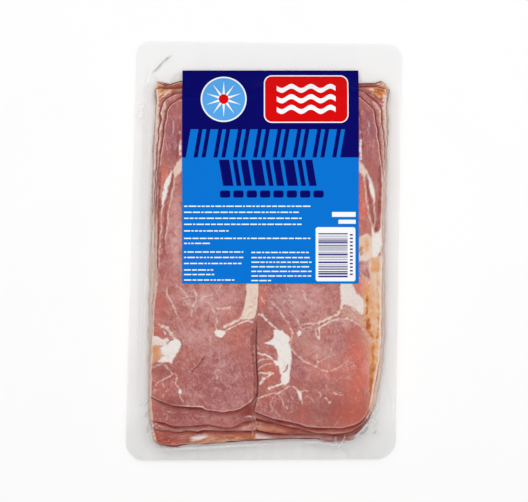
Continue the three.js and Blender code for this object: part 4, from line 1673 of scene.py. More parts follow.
    def tissue(self, px: Array, py: Array, edge: Array) -> Channels:
        """Tissue channels: the marks, the outer side, the rind, painted highlights on the rounded edges
        and crumpled ends, and painted shade on the rims, in the crumples' folds and under the rasher
        above.

        Args:
            px: pixel columns of the places.
            py: pixel rows of the places.
            edge: millimetres from the rasher's edge.

        Returns:
            One array for each channel.
        """
        channels = self.marked(px, py)
        spots = self.spots(px, py, edge)
        start = TONES.left_start_px if self.row is Row.LEFT else TONES.right_start_px
        lower_side = ease((py - start) / TONES.start_run_px)
        pale_side = fade(spots.outer, *TONES.side_fade) * np.maximum(lower_side, self.low)
        # painted shade on the rim: the outermost sliver of the rounding
        rim = fade(edge / self.round, *TONES.rim_shade_share) * (1 - pale_side)
        # painted highlight where the rounding turns to the light
        light_at, light_width = TONES.light_share
        light = bell(edge / self.round - light_at, light_width)
        self.tone_side(channels, spots, pale_side)
        if self.above is None:
            self.tone_top(channels, spots, light, rim)
            return channels
        self.tone_rind(channels, spots)
        foot, head = self.ends(px)
        ends = [fade(py - head, *TONES.end_fade_px), fade(foot - py, *TONES.end_fade_px)]
        near_end = np.maximum(*ends) * self.low
        # crumpled ends of the lower rashers: painted highlights on the ridges, painted shade in the folds
        across, along = TONES.crumple_stretch
        crumple = self.relief.at(px / across, along * py)
        ridge = fade(np.abs(crumple - TONES.crumple_light), 0.0, TONES.crumple_width)
        light = np.maximum(light, TONES.crumple_highlight * near_end * ridge)
        # the lower rashers' painted highlight lightens the meat and creams it
        channels["pale"] = lerp(channels["pale"], 1.0, TONES.low_highlight_pale * light)
        channels["fat"] = np.maximum(channels["fat"], TONES.low_highlight_fat * light)
        # painted shade in the crumples' folds; the rims of the lower steps above the block take painted
        # shade too
        fold = TONES.crumple_shade * near_end * fade(np.abs(crumple), 0.0, TONES.crumple_width)
        dark = [fold] if self.layer.step is Step.BLOCK else [fold, TONES.low_rim_shade * rim]
        # painted shadow cast by the rasher above, which also takes fat out of the colour there
        depth, crease = self.crease(spots, lower_side)
        channels["deep"] = np.maximum.reduce([channels["deep"], depth * crease, *dark])
        channels["fat"] = channels["fat"] * (1 - TONES.shade_lean * crease)
        return channels

    def tone_side(self, channels: Channels, spots: Spots, share: Array) -> None:
        """Turns the outer side to cream fat with faint smoke, with a painted highlight along its very
        edge.

        Args:
            channels: the tissue channels, which it changes.
            spots: the places.
            share: how far each place belongs to the side.
        """
        even, uneven = TONES.side_stain
        cover(channels, Tissue.CREAM, TONES.side_cream * share)
        stain = share * (even + uneven * self.gate.at(2.0 * spots.py, 0.5 * spots.px))
        channels["tan"] = np.maximum(channels["tan"], stain)
        # painted highlight along the very edge of the side
        white = TONES.side_highlight * share * fade(spots.outer, *TONES.side_highlight_fade)
        channels["pale"] = lerp(channels["pale"], 1.0, white)

    def tone_top(self, channels: Channels, spots: Spots, light: Array, rim: Array) -> None:
        """Paints a highlight on the top rasher's rounded edge, and paints shade on its rim and in the
        groove.

        Args:
            channels: the tissue channels, which it changes.
            spots: the places.
            light: how far the rounding catches light, painted as a highlight.
            rim: how far each place lies on the rim's painted shade.
        """
        # painted shade in the groove where the two rows part
        groove = fade(spots.inner, *TONES.groove_shade_fade) * STACK.parted(spots.py)
        light = light * (1 - groove)
        channels["pale"] = lerp(channels["pale"], 1.0, TONES.top_highlight_pale * light)
        channels["fat"] = np.maximum(channels["fat"], TONES.top_highlight_fat * light)
        dark = [TONES.top_groove_shade * groove, TONES.top_rim_shade * rim]
        channels["deep"] = np.maximum.reduce([channels["deep"], *dark])

    def tone_rind(self, channels: Channels, spots: Spots) -> None:
        """Turns stretches of the lower rashers' outer edge to smoked rind.

        Args:
            channels: the tissue channels, which it changes.
            spots: the places.
        """
        start, gain = TONES.rind_gate
        gate = ease(start + gain * self.gate.at(spots.py, 0.2 * spots.px))
        near = np.minimum(spots.outer, spots.edge + TONES.rind_from_end)
        rind = gate * fade(near, *TONES.rind_fade) * self.low
        even, uneven = TONES.rind_stain
        cover(channels, Tissue.CREAM, TONES.rind_cream * rind)
        stain = rind * (even + uneven * self.gate.at(2.0 * spots.py, spots.px))
        channels["tan"] = np.maximum(channels["tan"], stain)

    def crease(self, spots: Spots, lower_side: Array) -> tuple[Array, Array]:
        """The painted shadow that the rasher above casts along its edge.

        Args:
            spots: the places.
            lower_side: how far each place lies on the long, pale part of the outer side.

        Returns:
            How dark the painted shadow is and how far each place belongs to it.
        """
        covered = self.above.inset(spots.px, spots.py)
        even, uneven = TONES.crease_shade_depth
        stretch = TONES.shade_stretch
        depth = even + uneven * self.gate.at(stretch * spots.px, stretch * spots.py)
        start, run = TONES.shade_reach_fade
        reach = TONES.shade_reach + TONES.shade_reach_gain * ease((spots.outer - start) / run)
        open_side = fade(spots.outer, *TONES.open_fade)
        if self.above.layer.step is Step.BLOCK:
            depth = depth * (1 - TONES.open_block * open_side)
        # painted shadow just outside the edge of the rasher above
        crease = bell(covered, reach) * (covered < TONES.shade_reach)
        crease = crease * (1 - TONES.open_shade * open_side)
        pale = TONES.pale_side_shade * fade(spots.outer, *TONES.pale_side_fade) * lower_side
        return depth, crease * (1 - pale)

    def grain_height(self, px: Array, py: Array, tissue: Channels) -> Array:
        """Relief of the face: creases sink, fat stands proud and the muscles swell.

        Args:
            px: pixel columns of the places.
            py: pixel rows of the places.
            tissue: the tissue channels.

        Returns:
            Height in millimetres for each place, nothing under the label.
        """
        (left, left_run), (right, right_run), (foot, foot_run) = self.LABEL_PX
        beside = np.maximum(ease((left - px) / left_run), ease((px - right) / right_run))
        clear = np.maximum(beside, ease((py - foot) / foot_run))
        seam = STACK.fat_rise * tissue["fat"] - STACK.crease_shade_depth * tissue["deep"]
        muscle = self.relief.at(px / STACK.muscle_size_px, py / STACK.muscle_size_px)
        return (seam + STACK.muscle_rise * muscle) * clear


def mesh_from(bm: bmesh.types.BMesh, name: str) -> bpy.types.Mesh:
    """Ends a bmesh in a mesh of that name.

    Args:
        bm: the bmesh, which is freed.
        name: name of the mesh.

    Returns:
        The mesh.
    """
    mesh = bpy.data.meshes.new(name)
    bm.to_mesh(mesh)
    bm.free()
    return mesh


def read_places(mesh: bpy.types.Mesh) -> Array:
    """The mesh's vertices as an array of three columns.

    Args:
        mesh: the mesh.

    Returns:
        One row for each vertex.
    """
    flat = np.empty(3 * len(mesh.vertices))
    mesh.vertices.foreach_get("co", flat)
    return flat.reshape(-1, 3)


def write_places(mesh: bpy.types.Mesh, places: Array) -> None:
    """Sets the mesh's vertices from an array of three columns."""
    mesh.vertices.foreach_set("co", places.reshape(-1))
    mesh.update()


def write_attribute(mesh: bpy.types.Mesh, name: str, values: Array) -> None:
    """Puts a number on each of the mesh's vertices."""
    mesh.attributes.new(name, "FLOAT", "POINT").data.foreach_set("value", values.astype(np.float32))


def face_outwards(mesh: bpy.types.Mesh) -> None:
    """Recalculates the normals of a closed mesh.

    Args:
        mesh: the mesh, which it changes.
    """
    bm = bmesh.new()
    bm.from_mesh(mesh)
    bmesh.ops.recalc_face_normals(bm, faces=bm.faces[:])
    bm.to_mesh(mesh)
    bm.free()


def finished(mesh: bpy.types.Mesh, name: str, smooth: bool = True) -> bpy.types.Object:
    """Makes the mesh an object in the scene.

    Args:
        mesh: the mesh, in place.
        name: name of the piece.
        smooth: shade its faces smooth.

    Returns:
        The object.
    """
    if smooth:
        mesh.shade_smooth()
    piece = bpy.data.objects.new(name, mesh)
    bpy.context.scene.collection.objects.link(piece)
    return piece


def dress(piece: bpy.types.Object, material: bpy.types.Material) -> bpy.types.Object:
    """Gives a piece its material and its place on the pack's body.

    Args:
        piece: the finished piece.
        material: its material.

    Returns:
        The same piece.
    """
    piece.data.materials.append(material)
    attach(piece, BODY)
    return piece


@dataclass
class RasherStack:
    """Both rows of rashers."""

    rashers: list[Rasher] = field(default_factory=list)

    def build(self) -> list[bpy.types.Object]:
        """Models every rasher, from the top layer down, so that each knows the one on it.

        Returns:
            The rashers' objects.
        """
        meat = MeatFinish().material()
        pieces = []
        for row in Row:
            above = None
            for level in reversed(range(STACK.count)):
                above = Rasher(row, level, above)
                self.rashers.append(above)
                pieces.append(dress(above.build(), meat))
        return pieces


# Film


@dataclass(frozen=True)
class Fold:
    """A fold in the film along a few places, in pixels of the photograph.

    height and width are in millimetres. dark says how far it shows as a painted shadow line, and bright
    how far as a painted glint.
    """

    END_GAIN, END_SHARE = 4.0, 0.15

    height: float
    width: float
    line: Line
    dark: float = 0.0
    bright: float = 0.0

    def share(self, px: Array, py: Array, width: float) -> Array:
        """How far each place belongs to the fold, fading at its ends.

        Args:
            px: pixel columns of the places.
            py: pixel rows of the places.
            width: the fold's width, in millimetres.

        Returns:
            One share for each place.
        """
        reach, along = reach_of_line(self.line, px, py)
        ends = ease(self.END_GAIN * np.minimum(along, 1 - along) + self.END_SHARE)
        return ends * bell(reach * PHOTO.mm_per_pixel, width)


# dark paints a shadow line along a fold, and bright a glint on it
FOLDS: dict[str, Fold] = {
    "hair-like crease of the header": Fold(0.4, 0.5, ((151.4, 73.4), (156, 69.6), (159, 66), (163, 61),
        (168, 57.6), (172, 54.6)), 0.8),
    "crease below the hair": Fold(0.5, 0.8, ((150, 75), (155, 77), (158, 80)), 0.15),
    "crease left of the label's top": Fold(0.5, 0.7, ((169, 82), (174, 78), (180, 73)), 0.15),
    "left gutter, bright line": Fold(0.9, 0.9, ((147.6, 66), (146, 90), (145, 130), (144, 170),
        (142.5, 230), (141, 300), (140, 360), (140.5, 402)), 0.0, 0.3),
    "left gutter, outer line": Fold(0.5, 0.8, ((140, 80), (138.6, 130), (137.4, 180), (136, 260),
        (135, 330))),
    "left gutter, inner line": Fold(0.5, 0.8, ((151, 100), (150, 150), (148.6, 200), (147, 260),
        (145.4, 330), (144.6, 385))),
    "loop at the foot of the gutter": Fold(0.8, 0.7, ((140, 398), (142, 404), (145.4, 402), (149, 397)),
        0.05, 0.5),
    "left foot crease a": Fold(0.9, 0.6, ((151, 409), (148, 412), (144, 418)), 0.35),
    "left foot crease b": Fold(0.8, 0.6, ((150, 421), (148.4, 426), (147.6, 434)), 0.3),
    "left foot crease c": Fold(0.8, 0.7, ((152, 428), (151, 436), (153, 441)), 0.0, 0.5),
    "left foot crease d": Fold(0.6, 0.6, ((151, 400), (146, 402), (144.6, 407)), 0.3),
    "right foot crease a": Fold(1.0, 0.8, ((371, 416), (374, 411), (379, 407)), 0.1, 0.8),
    "right foot crease b": Fold(1.0, 0.8, ((370, 420), (373, 419.6), (377, 424)), 0.1, 0.7),
    "loop with a painted glint": Fold(1.2, 0.8, ((352.4, 439), (357, 434), (362, 429.6), (366, 425), (368.4, 426)), 0.0,
        1.0),
    "dark line by the loop": Fold(0.6, 0.6, ((359, 434.6), (363.6, 433), (366.6, 429.6), (368, 426)),
        0.75),
    "right foot crease c": Fold(0.7, 0.6, ((373, 424), (376, 430), (381, 436)), 0.1),
    "small dark mark": Fold(0.4, 0.6, ((375.6, 434.6), (374.6, 432.6), (376.6, 430.6)), 0.7),
    "right side crease": Fold(0.8, 0.8, ((378, 402), (376, 408), (377.4, 414)), 0.1, 0.7),
    "right side glint": Fold(0.9, 0.8, ((392.4, 390), (393, 400), (394, 412)), 0.0, 0.4),
    "foot tuck, left leg": Fold(0.9, 0.7, ((335.6, 435), (335.4, 441), (337.4, 448.6)), 0.15, 0.6),
    "foot tuck, right leg": Fold(0.9, 0.7, ((345, 434), (343.4, 440), (338.6, 448.6)), 0.15, 0.6),
    "foot tuck, middle": Fold(0.7, 0.5, ((340.6, 434), (340, 440), (340.6, 445)), 0.2),
    "crease from the tuck": Fold(0.5, 0.7, ((340, 446), (346, 452), (352, 457)), 0.1),
    "right gutter line": Fold(0.6, 1.0, ((391, 110), (390, 180), (388.6, 240), (388.4, 320),
        (386.4, 380))),
    "foot gutter, left": Fold(0.6, 0.8, ((158, 449.4), (180, 449), (200, 448), (240, 446), (275, 443.6)),
        0.0, 0.8),
    "foot gutter, right": Fold(0.6, 0.8, ((300, 442), (318, 442.6), (334, 445), (350, 444)), 0.0, 0.8),
    "foot band line": Fold(0.5, 1.0, ((150, 454), (200, 454.6), (270, 453.6), (330, 454.6))),
    "header wrinkle a": Fold(0.35, 0.6, ((185, 48), (196, 54), (204, 50))),
    "header wrinkle b": Fold(0.35, 0.6, ((240, 62), (250, 52), (256, 47))),
    "header wrinkle c": Fold(0.35, 0.7, ((372, 70), (380, 62), (390, 58))),
    "side glint a": Fold(0.5, 0.7, ((139, 108), (141, 114), (139.4, 119)), 0.0, 0.6),
    "side glint b": Fold(0.5, 0.7, ((137.6, 112), (138.4, 118), (137, 125)), 0.0, 0.6),
    "side glint c": Fold(0.5, 0.7, ((141.6, 104), (142.4, 110)), 0.0, 0.6),
    "left flap glint": Fold(0.4, 0.5, ((174.8, 119), (173.4, 125), (174, 130), (172.8, 136)), 0.0, 0.7),
    "right flap glint": Fold(0.4, 0.5, ((367, 119), (368.4, 125), (367.4, 130), (368.4, 136)), 0.0, 0.7),
}


@dataclass(frozen=True)
class FilmPlan:
    """Plan and rim of the sealed film, in millimetres."""

    header_width: float = 186.6
    foot_width: float = 189.3
    length: float = 292.6
    header_shift: float = 3.8
    foot_shift: float = -2.6
    header_drop: float = 1.15
    foot_rise: float = 0.5
    header_corner: float = 10.0
    foot_corner: float = 13.5
    along_shift: float = -0.29
    rim_level: float = 9.0
    rim_wave: float = 0.5
    rim_wave_across: float = 23.0
    rim_wave_along: float = 37.0
    rim_wave_phase: float = 0.7
    rim_thickness: float = 0.3
    gap: float = 0.38
    # haze along the pack, from foot to header, with painted shade that is strongest at the foot
    milk_and_shade: Line = ((0.0, 1.1), (0.06, 1.0), (0.12, 0.55), (0.5, 0.3), (0.9, 0.24))

    @property
    def half_width(self) -> float:
        """Half of the mean width."""
        return (self.header_width + self.foot_width) / 4

    def outline(self, x: Array, y: Array) -> tuple[Array, Array]:
        """Rounds the corners of the rectangle and leans it into the pack's plan.

        Args:
            x: places across on the plain rectangle.
            y: places along.

        Returns:
            The places across and along on the pack.
        """
        half_length = self.length / 2
        radius = np.where(y > 0, self.header_corner, self.foot_corner)
        p = np.clip((np.abs(x) - (self.half_width - radius)) / radius, 0, 1)
        q = np.clip((np.abs(y) - (half_length - radius)) / radius, 0, 1)
        x = x - np.sign(x) * radius * p * (1 - np.sqrt(1 - q * q / 2))
        y = y - np.sign(y) * radius * q * (1 - np.sqrt(1 - p * p / 2))
        t = (y + half_length) / self.length
        side = x / self.half_width
        width = lerp(self.foot_width, self.header_width, t)
        return (
            lerp(self.foot_shift, self.header_shift, t) + side * width / 2,
            y + side * lerp(self.foot_rise, -self.header_drop, t) + self.along_shift,
        )

    def milk_and_shade_along(self, y: Array) -> Array:
        """How milky and shaded the sealed film is at each place along the pack: haze with painted shade,
        most at the foot.
        """
        return np.interp(y / self.length + 0.5, *zip(*self.milk_and_shade))

    def rim(self, x: Array, y: Array) -> Array:
        """Height of the sealed rim, which isn't quite level."""
        wave = self.rim_wave * np.sin(x / self.rim_wave_across + self.rim_wave_phase)
        return self.rim_level + wave * np.cos(y / self.rim_wave_along - self.rim_wave_phase)


FILM = FilmPlan()


def neighbours(height: Array) -> list[Array]:
    """A height map moved by one cell to each of the four sides."""
    return [np.roll(height, step, axis) for axis in (0, 1) for step in (1, -1)]


class Drape:
    """Height maps of the film where the vacuum draws it down on the rashers, in millimetres."""

    PITCH = 0.8
    PULL = 0.035
    STEPS = 420
    HALF_SIZE = (100.0, 151.0)
    LABEL_LIFT = 0.25
    OVERHANG = 0.3
    LEAST_HEIGHT = 0.03
    FAR = 1e3
    SOFTENINGS = 2
    LABEL_BRIDGINGS = 300
    LABEL_SOFTENINGS = 30
    LABEL_REPAIRS = 12

    def __init__(self, rashers: Sequence[Rasher]) -> None:
        """Lays the upper film, the lower film and the label over the rashers.

        Args:
            rashers: every rasher of the pack.
        """
        half_x, half_y = self.HALF_SIZE
        self.xs = np.arange(-half_x, half_x + self.PITCH, self.PITCH)
        self.ys = np.arange(-half_y, half_y + self.PITCH, self.PITCH)
        x, y = np.meshgrid(self.xs, self.ys)
        px, py = PHOTO.pixels(x, y)
        rim = FILM.rim(x, y)
        top, bottom = np.full(x.shape, -self.FAR), np.full(x.shape, self.FAR)
        self.inside = np.full(x.shape, -self.FAR)
        for rasher in rashers:
            edge = rasher.inset(px, py)
            low, high = rasher.heights(px, py, np.maximum(edge, 0))
            over = edge > -self.OVERHANG
            top = np.where(over, np.maximum(top, high), top)
            bottom = np.where(over, np.minimum(bottom, low), bottom)
            self.inside = np.maximum(self.inside, edge)
        top = np.maximum.reduce([top, *neighbours(top)])
        bottom = np.minimum.reduce([bottom, *neighbours(bottom)])
        self.upper = self.drawn_down(np.maximum(top + FILM.gap, rim))
        under = np.minimum(bottom - FILM.gap, rim - FILM.rim_thickness)
        self.lower = np.maximum(-self.drawn_down(-under), self.LEAST_HEIGHT)
        for _ in range(self.SOFTENINGS):
            self.upper = (4 * self.upper + sum(neighbours(self.upper))) / 8
        for fold in FOLDS.values():
            self.upper = self.upper + fold.height * fold.share(px, py, fold.width)
        self.label = self.stiff(self.upper + self.LABEL_LIFT)

    def drawn_down(self, obstacle: Array) -> Array:
        """A stretched skin over an obstacle, pulled down by the vacuum.

        Args:
            obstacle: least height at each place.

        Returns:
            The skin's height map.
        """
        skin = obstacle.copy()
        for _ in range(self.STEPS):
            skin = np.maximum(obstacle, sum(neighbours(skin)) / 4 - self.PULL)
        return skin

    def stiff(self, film: Array) -> Array:
        """The label's back: it bridges hollows, and bends more gently than the film.

        Args:
            film: height map of the film under the label.

        Returns:
            The label's height map.
        """
        skin = film.copy()
        for _ in range(self.LABEL_BRIDGINGS):
            skin = np.maximum(film, sum(neighbours(skin)) / 4)
        smooth = skin
        for _ in range(self.LABEL_SOFTENINGS):
            smooth = (smooth + sum(neighbours(smooth))) / 5
        short = film - smooth
        for _ in range(self.LABEL_REPAIRS):
            short = np.maximum(short, sum(neighbours(short)) / 4)
        return smooth + np.maximum(short, 0)

    def at(self, height: Array, x: Array, y: Array) -> Array:
        """Reads a height map at places in millimetres.

        Args:
            height: the map.
            x: places across.
            y: places along.

        Returns:
            The height at each place.
        """
        gx = np.clip((x - self.xs[0]) / self.PITCH, 0, len(self.xs) - 1.001)
        gy = np.clip((y - self.ys[0]) / self.PITCH, 0, len(self.ys) - 1.001)
        ix, iy = gx.astype(int), gy.astype(int)
        tx, ty = gx - ix, gy - iy
        low = lerp(height[iy, ix], height[iy, ix + 1], tx)
        return lerp(low, lerp(height[iy + 1, ix], height[iy + 1, ix + 1], tx), ty)


@dataclass
class FilmSkins:
    """The upper and the lower film, each a sheet out to the pack's edge."""

    drape: Drape
    upper_cell: float = 0.8
    lower_cell: float = 1.7
    edge_band: float = 1.2
    edge_milk: float = 0.5
    seal_start: float = 0.2
    seal_run: float = 1.4
    farthest: float = 50.0
    line_share: float = 0.8
    below: FilmFinish = FilmFinish(index=1.12, most_gloss=0.05, name="clear_film_below")

    def build(self) -> list[bpy.types.Object]:
        """Models both films.

        Returns:
            The upper film's object and the lower one's.
        """
        upper = self.sheet("film_upper", self.upper_cell, self.drape.upper)
        lower = self.sheet("film_lower", self.lower_cell, self.drape.lower)
        lower.data.flip_normals()
        dress(upper, FilmFinish().material())
        dress(lower, self.below.material())
        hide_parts("sealed_pack")
        return [upper, lower]

    def sheet(self, name: str, cell: float, height: Array) -> bpy.types.Object:
        """One film.

        Args:
            name: name of the piece.
            cell: size of its cells, in millimetres.
            height: its height map.

        Returns:
            The object. Its sealed channel is above 0 away from the meat and grows towards the foot with
            painted shade, its fold channel holds painted shadow lines and its glint channel painted
            glints.
        """
        half_x, half_y = FILM.half_width, FILM.length / 2
        bm = bmesh.new()
        bmesh.ops.create_grid(
            bm, x_segments=round(2 * half_x / cell), y_segments=round(2 * half_y / cell), size=1.0)
        mesh = mesh_from(bm, name)
        at = read_places(mesh)
        flat_x, flat_y = at[:, 0] * half_x, at[:, 1] * half_y
        x, y = FILM.outline(flat_x, flat_y)
        z = self.drape.at(height, x, y)
        write_places(mesh, np.stack([x, y, z], axis=1) * MM)
        away = -self.drape.at(np.maximum(self.drape.inside, -self.farthest), x, y)
        to_edge = np.minimum(half_x - np.abs(flat_x), half_y - np.abs(flat_y))
        sealed = ease((away - self.seal_start) / self.seal_run)
        sealed = sealed + self.edge_milk * fade(to_edge, 0.0, self.edge_band)
        px, py = PHOTO.pixels(x, y)
        dark, bright = np.zeros(len(x)), np.zeros(len(x))
        for fold in FOLDS.values():
            share = fold.share(px, py, self.line_share * fold.width)
            dark = np.maximum(dark, fold.dark * share)
            bright = np.maximum(bright, fold.bright * share)
        # milky haze along the pack, and painted shade that grows towards the foot
        write_attribute(mesh, "sealed", sealed * FILM.milk_and_shade_along(y))
        write_attribute(mesh, "fold", dark)
        write_attribute(mesh, "glint", bright)
        return finished(mesh, name)


# Label


class Ink(Enum):
    """The print's colours."""

    NAVY = InkFinish("navy_ink", srgb(0, 0, 98))
    BLUE = InkFinish("blue_ink", srgb(0, 112, 206))
    SKY = InkFinish("sky_ink", srgb(84, 162, 226))
    RED = InkFinish("red_ink", srgb(212, 2, 4))
    WHITE = InkFinish("white_ink", srgb(242, 243, 246))
    BAR = InkFinish("bar_ink", srgb(58, 52, 120))


class Shapes:
    """Flat shapes on the label, in millimetres from its upper left corner, y down."""

    CORNER_STEPS = 8
    WAVE_PARTS = 48
    TRIANGLE_SPREAD = 1.155

    def __init__(self) -> None:
        """Starts without a shape."""
        self.bm = bmesh.new()

    def grid(self, left: float, top: float, right: float, bottom: float, parts: int = 1) -> list:
        """A rectangle, cut into parts from left to right.

        Args:
            left: its left edge.
            top: its upper edge.
            right: its right edge.
            bottom: its lower edge.
            parts: how many parts it has.

        Returns:
            Its vertices.
        """
        place = Matrix.Translation(((left + right) / 2, (top + bottom) / 2, 0))
        size = Matrix.Diagonal((right - left, bottom - top, 1, 1))
        made = bmesh.ops.create_grid(
            self.bm, x_segments=parts, y_segments=1, size=0.5, matrix=place @ size)
        return made["verts"]

    def rectangle(self, left: float, top: float, right: float, bottom: float,
                  radius: float = 0.0) -> None:
        """A rectangle, with rounded corners if it has a radius.

        Args:
            left: its left edge.
            top: its upper edge.
            right: its right edge.
            bottom: its lower edge.
            radius: radius of its corners.
        """
        corners = self.grid(left, top, right, bottom)
        if radius:
            bmesh.ops.bevel(self.bm, geom=corners, offset=radius, segments=self.CORNER_STEPS,
                            profile=0.5, affect="VERTICES", material=-1)

    def disc(self, x: float, y: float, across: float, down: float, sides: int = 64) -> None:
        """An oval, or a lozenge where it has four sides."""
        place = Matrix.Translation((x, y, 0)) @ Matrix.Diagonal((across, down, 1, 1))
        bmesh.ops.create_circle(self.bm, cap_ends=True, radius=1.0, segments=sides, matrix=place)

    def rays(self, x: float, y: float, inner: float, outer: float, half_width: float,
             count: int) -> None:
        """Pointed rays around a hub.

        Args:
            x: the hub's place across.
            y: the hub's place down.
            inner: where the rays start, from the middle.
            outer: where they end.
            half_width: half their width.
            count: how many there are.
        """
        reach = (outer - inner) / 3
        for k in range(count):
            turn = Matrix.Rotation(2 * math.pi * k / count, 4, "Z")
            place = Matrix.Translation((x, y, 0)) @ turn @ Matrix.Translation((0, inner + reach, 0))
            size = Matrix.Diagonal((half_width, 2 * reach, 1, 1))
            size = size @ Matrix.Diagonal((self.TRIANGLE_SPREAD, 1, 1, 1))
            bmesh.ops.create_circle(self.bm, cap_ends=True, radius=1.0, segments=3, matrix=place @ size)

    def slant(self, left: float, top: float, width: float, height: float, lean: float) -> None:
        """A slanting bar.

        Args:
            left: left edge of its foot.
            top: its upper edge.
            width: its width.
            height: its height.
            lean: how far its top leans to the right.
        """
        for vert in self.grid(left, top, left + width, top + height):
            vert.co.x += lean * (top + height - vert.co.y) / height

    def wave(self, left: float, right: float, y: float, width: float, swing: float,
             length: float) -> None:
        """A wavy stripe.

        Args:
            left: its left end.
            right: its right end.
            y: its height on the label.
            width: its width.
            swing: how far it swings to each side.
            length: length of one wave.
        """
        for vert in self.grid(left, y - width / 2, right, y + width / 2, self.WAVE_PARTS):
            vert.co.y += swing * math.sin(2 * math.pi * (vert.co.x - left) / length)


@dataclass
class Label:
    """The printed label: a thin sheet with fields of colour and plain shapes."""

    drape: Drape
    thickness: float = 0.12
    cell: float = 1.5
    ink_lift: float = 0.05
    navy_height: float = 61.2

    def __post_init__(self) -> None:
        """Takes its place and size from the frame, and mixes its inks."""
        low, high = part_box("label")
        self.corner = (low[0] / MM, high[1] / MM)
        self.size = ((high[0] - low[0]) / MM, (high[1] - low[1]) / MM)
        self.inks = {ink: ink.value.material() for ink in Ink}

    def cut(self, bm: bmesh.types.BMesh, axis: int, place: float) -> None:
        """Cuts flat geometry along a line across an axis.

        Args:
            bm: the flat geometry.
            axis: the axis, 0 for x and 1 for y.
            place: where the line crosses it.
        """
        point, normal = Vector(), Vector()
        point[axis], normal[axis] = place, 1.0
        bmesh.ops.bisect_plane(bm, geom=bm.verts[:] + bm.edges[:] + bm.faces[:], dist=0.001,
                               plane_co=point, plane_no=normal)

    def drop(self, bm: bmesh.types.BMesh, lift: float) -> None:
        """Moves flat geometry from the label's own places onto the film.

        Args:
            bm: geometry with x to the right and y down, in millimetres.
            lift: height over the label's back, in millimetres.
        """
        flat = np.array([vert.co[:] for vert in bm.verts])
        x, y = self.corner[0] + flat[:, 0], self.corner[1] - flat[:, 1]
        z = self.drape.at(self.drape.label, x, y) + flat[:, 2] + lift
        for vert, place in zip(bm.verts, np.stack([x, y, z], axis=1) * MM):
            vert.co = place

    def sheet(self) -> bpy.types.Object:
        """The label itself, navy above and blue below.

        Returns:
            The label's object.
        """
        shapes = Shapes()
        bm = shapes.bm
        shapes.rectangle(0, 0, *self.size)
        self.lattice(bm)
        self.cut(bm, 1, self.navy_height)
        grown = bmesh.ops.extrude_face_region(bm, geom=bm.faces[:])
        upper = [part for part in grown["geom"] if isinstance(part, bmesh.types.BMVert)]
        bmesh.ops.translate(bm, verts=upper, vec=(0, 0, self.thickness))
        for face in bm.faces:
            face.material_index = 0 if face.calc_center_median().y < self.navy_height else 1
        self.drop(bm, 0.0)
        bmesh.ops.recalc_face_normals(bm, faces=bm.faces[:])
        piece = finished(mesh_from(bm, "label_sheet"), "label_sheet", smooth=False)
        dress(piece, self.inks[Ink.NAVY])
        piece.data.materials.append(self.inks[Ink.BLUE])
        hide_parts("label")
        return piece

    def lattice(self, bm: bmesh.types.BMesh) -> None:
        """Cuts flat geometry into cells, so that it can follow the film.

        Args:
            bm: the flat geometry.
        """
        for axis in (0, 1):
            places = [vert.co[axis] for vert in bm.verts]
            first, last = math.ceil(min(places) / self.cell), math.ceil(max(places) / self.cell)
            for k in range(first, last):
                self.cut(bm, axis, k * self.cell)

    def printed(self, name: str, ink: Ink, shapes: Shapes, level: int = 1) -> bpy.types.Object:
        """Lays flat shapes on the label as ink.

        Args:
            name: name of the piece.
            ink: its colour.
            shapes: the flat shapes.
            level: how many inks lie under it, plus one.

        Returns:
            The object.
        """
        bm = shapes.bm
        self.lattice(bm)
        self.drop(bm, self.thickness + self.ink_lift * level)
        bm.normal_update()
        for face in bm.faces:
            if face.normal.z < 0:
                face.normal_flip()
        piece = finished(mesh_from(bm, name), name, smooth=False)
        return dress(piece, self.inks[ink])

    def build(self) -> list[bpy.types.Object]:
        """Models the label and its print."""
        return [self.sheet(), *self.red_panel(), *self.roundel(), *self.bands(), self.lines(),
                *self.barcode()]

    def red_panel(self) -> list[bpy.types.Object]:
        """The red panel at the upper right, with a white keyline and three plain wavy stripes.

        Returns:
            The objects of its three inks.
        """
        left, top, right, bottom, radius, keyline = 57.0, 3.5, 116.0, 37.1, 5.6, 0.8
        margin, first, pitch, width, swing, wave_length = 9, 9.4, 7.4, 3.4, 1.5, 13.6
        white, red, stripes = Shapes(), Shapes(), Shapes()
        white.rectangle(left, top, right, bottom, radius)
        red.rectangle(left + keyline, top + keyline, right - keyline, bottom - keyline,
                      radius - keyline)
        for i in range(3):
            y = top + first + pitch * i
            stripes.wave(left + margin, right - margin, y, width, swing, wave_length)
        return [
            self.printed("print_panel_keyline", Ink.WHITE, white),
            self.printed("print_panel_red", Ink.RED, red, 2),
            self.printed("print_panel_stripes", Ink.WHITE, stripes, 3),
        ]

    def roundel(self) -> list[bpy.types.Object]:
        """The roundel at the upper left: plain rays around a hub, on a disc with a rim.

        Returns:
            The objects of its four inks.
        """
        x, y, radius, rim_width, hub, rays = 29.0, 20.5, 16.0, 1.0, 3.4, 10
        ray_margin, ray_half_width = 3.2, 0.85
        rim, disc, star, middle = Shapes(), Shapes(), Shapes(), Shapes()
        rim.disc(x, y, radius, radius)
        disc.disc(x, y, radius - rim_width, radius - rim_width)
        star.rays(x, y, hub, radius - ray_margin, ray_half_width, rays)
        middle.disc(x, y, hub, hub)
        return [
            self.printed("print_roundel_rim", Ink.WHITE, rim),
            self.printed("print_roundel_disc", Ink.SKY, disc, 2),
            self.printed("print_roundel_rays", Ink.WHITE, star, 3),
            self.printed("print_roundel_hub", Ink.RED, middle, 3),
        ]

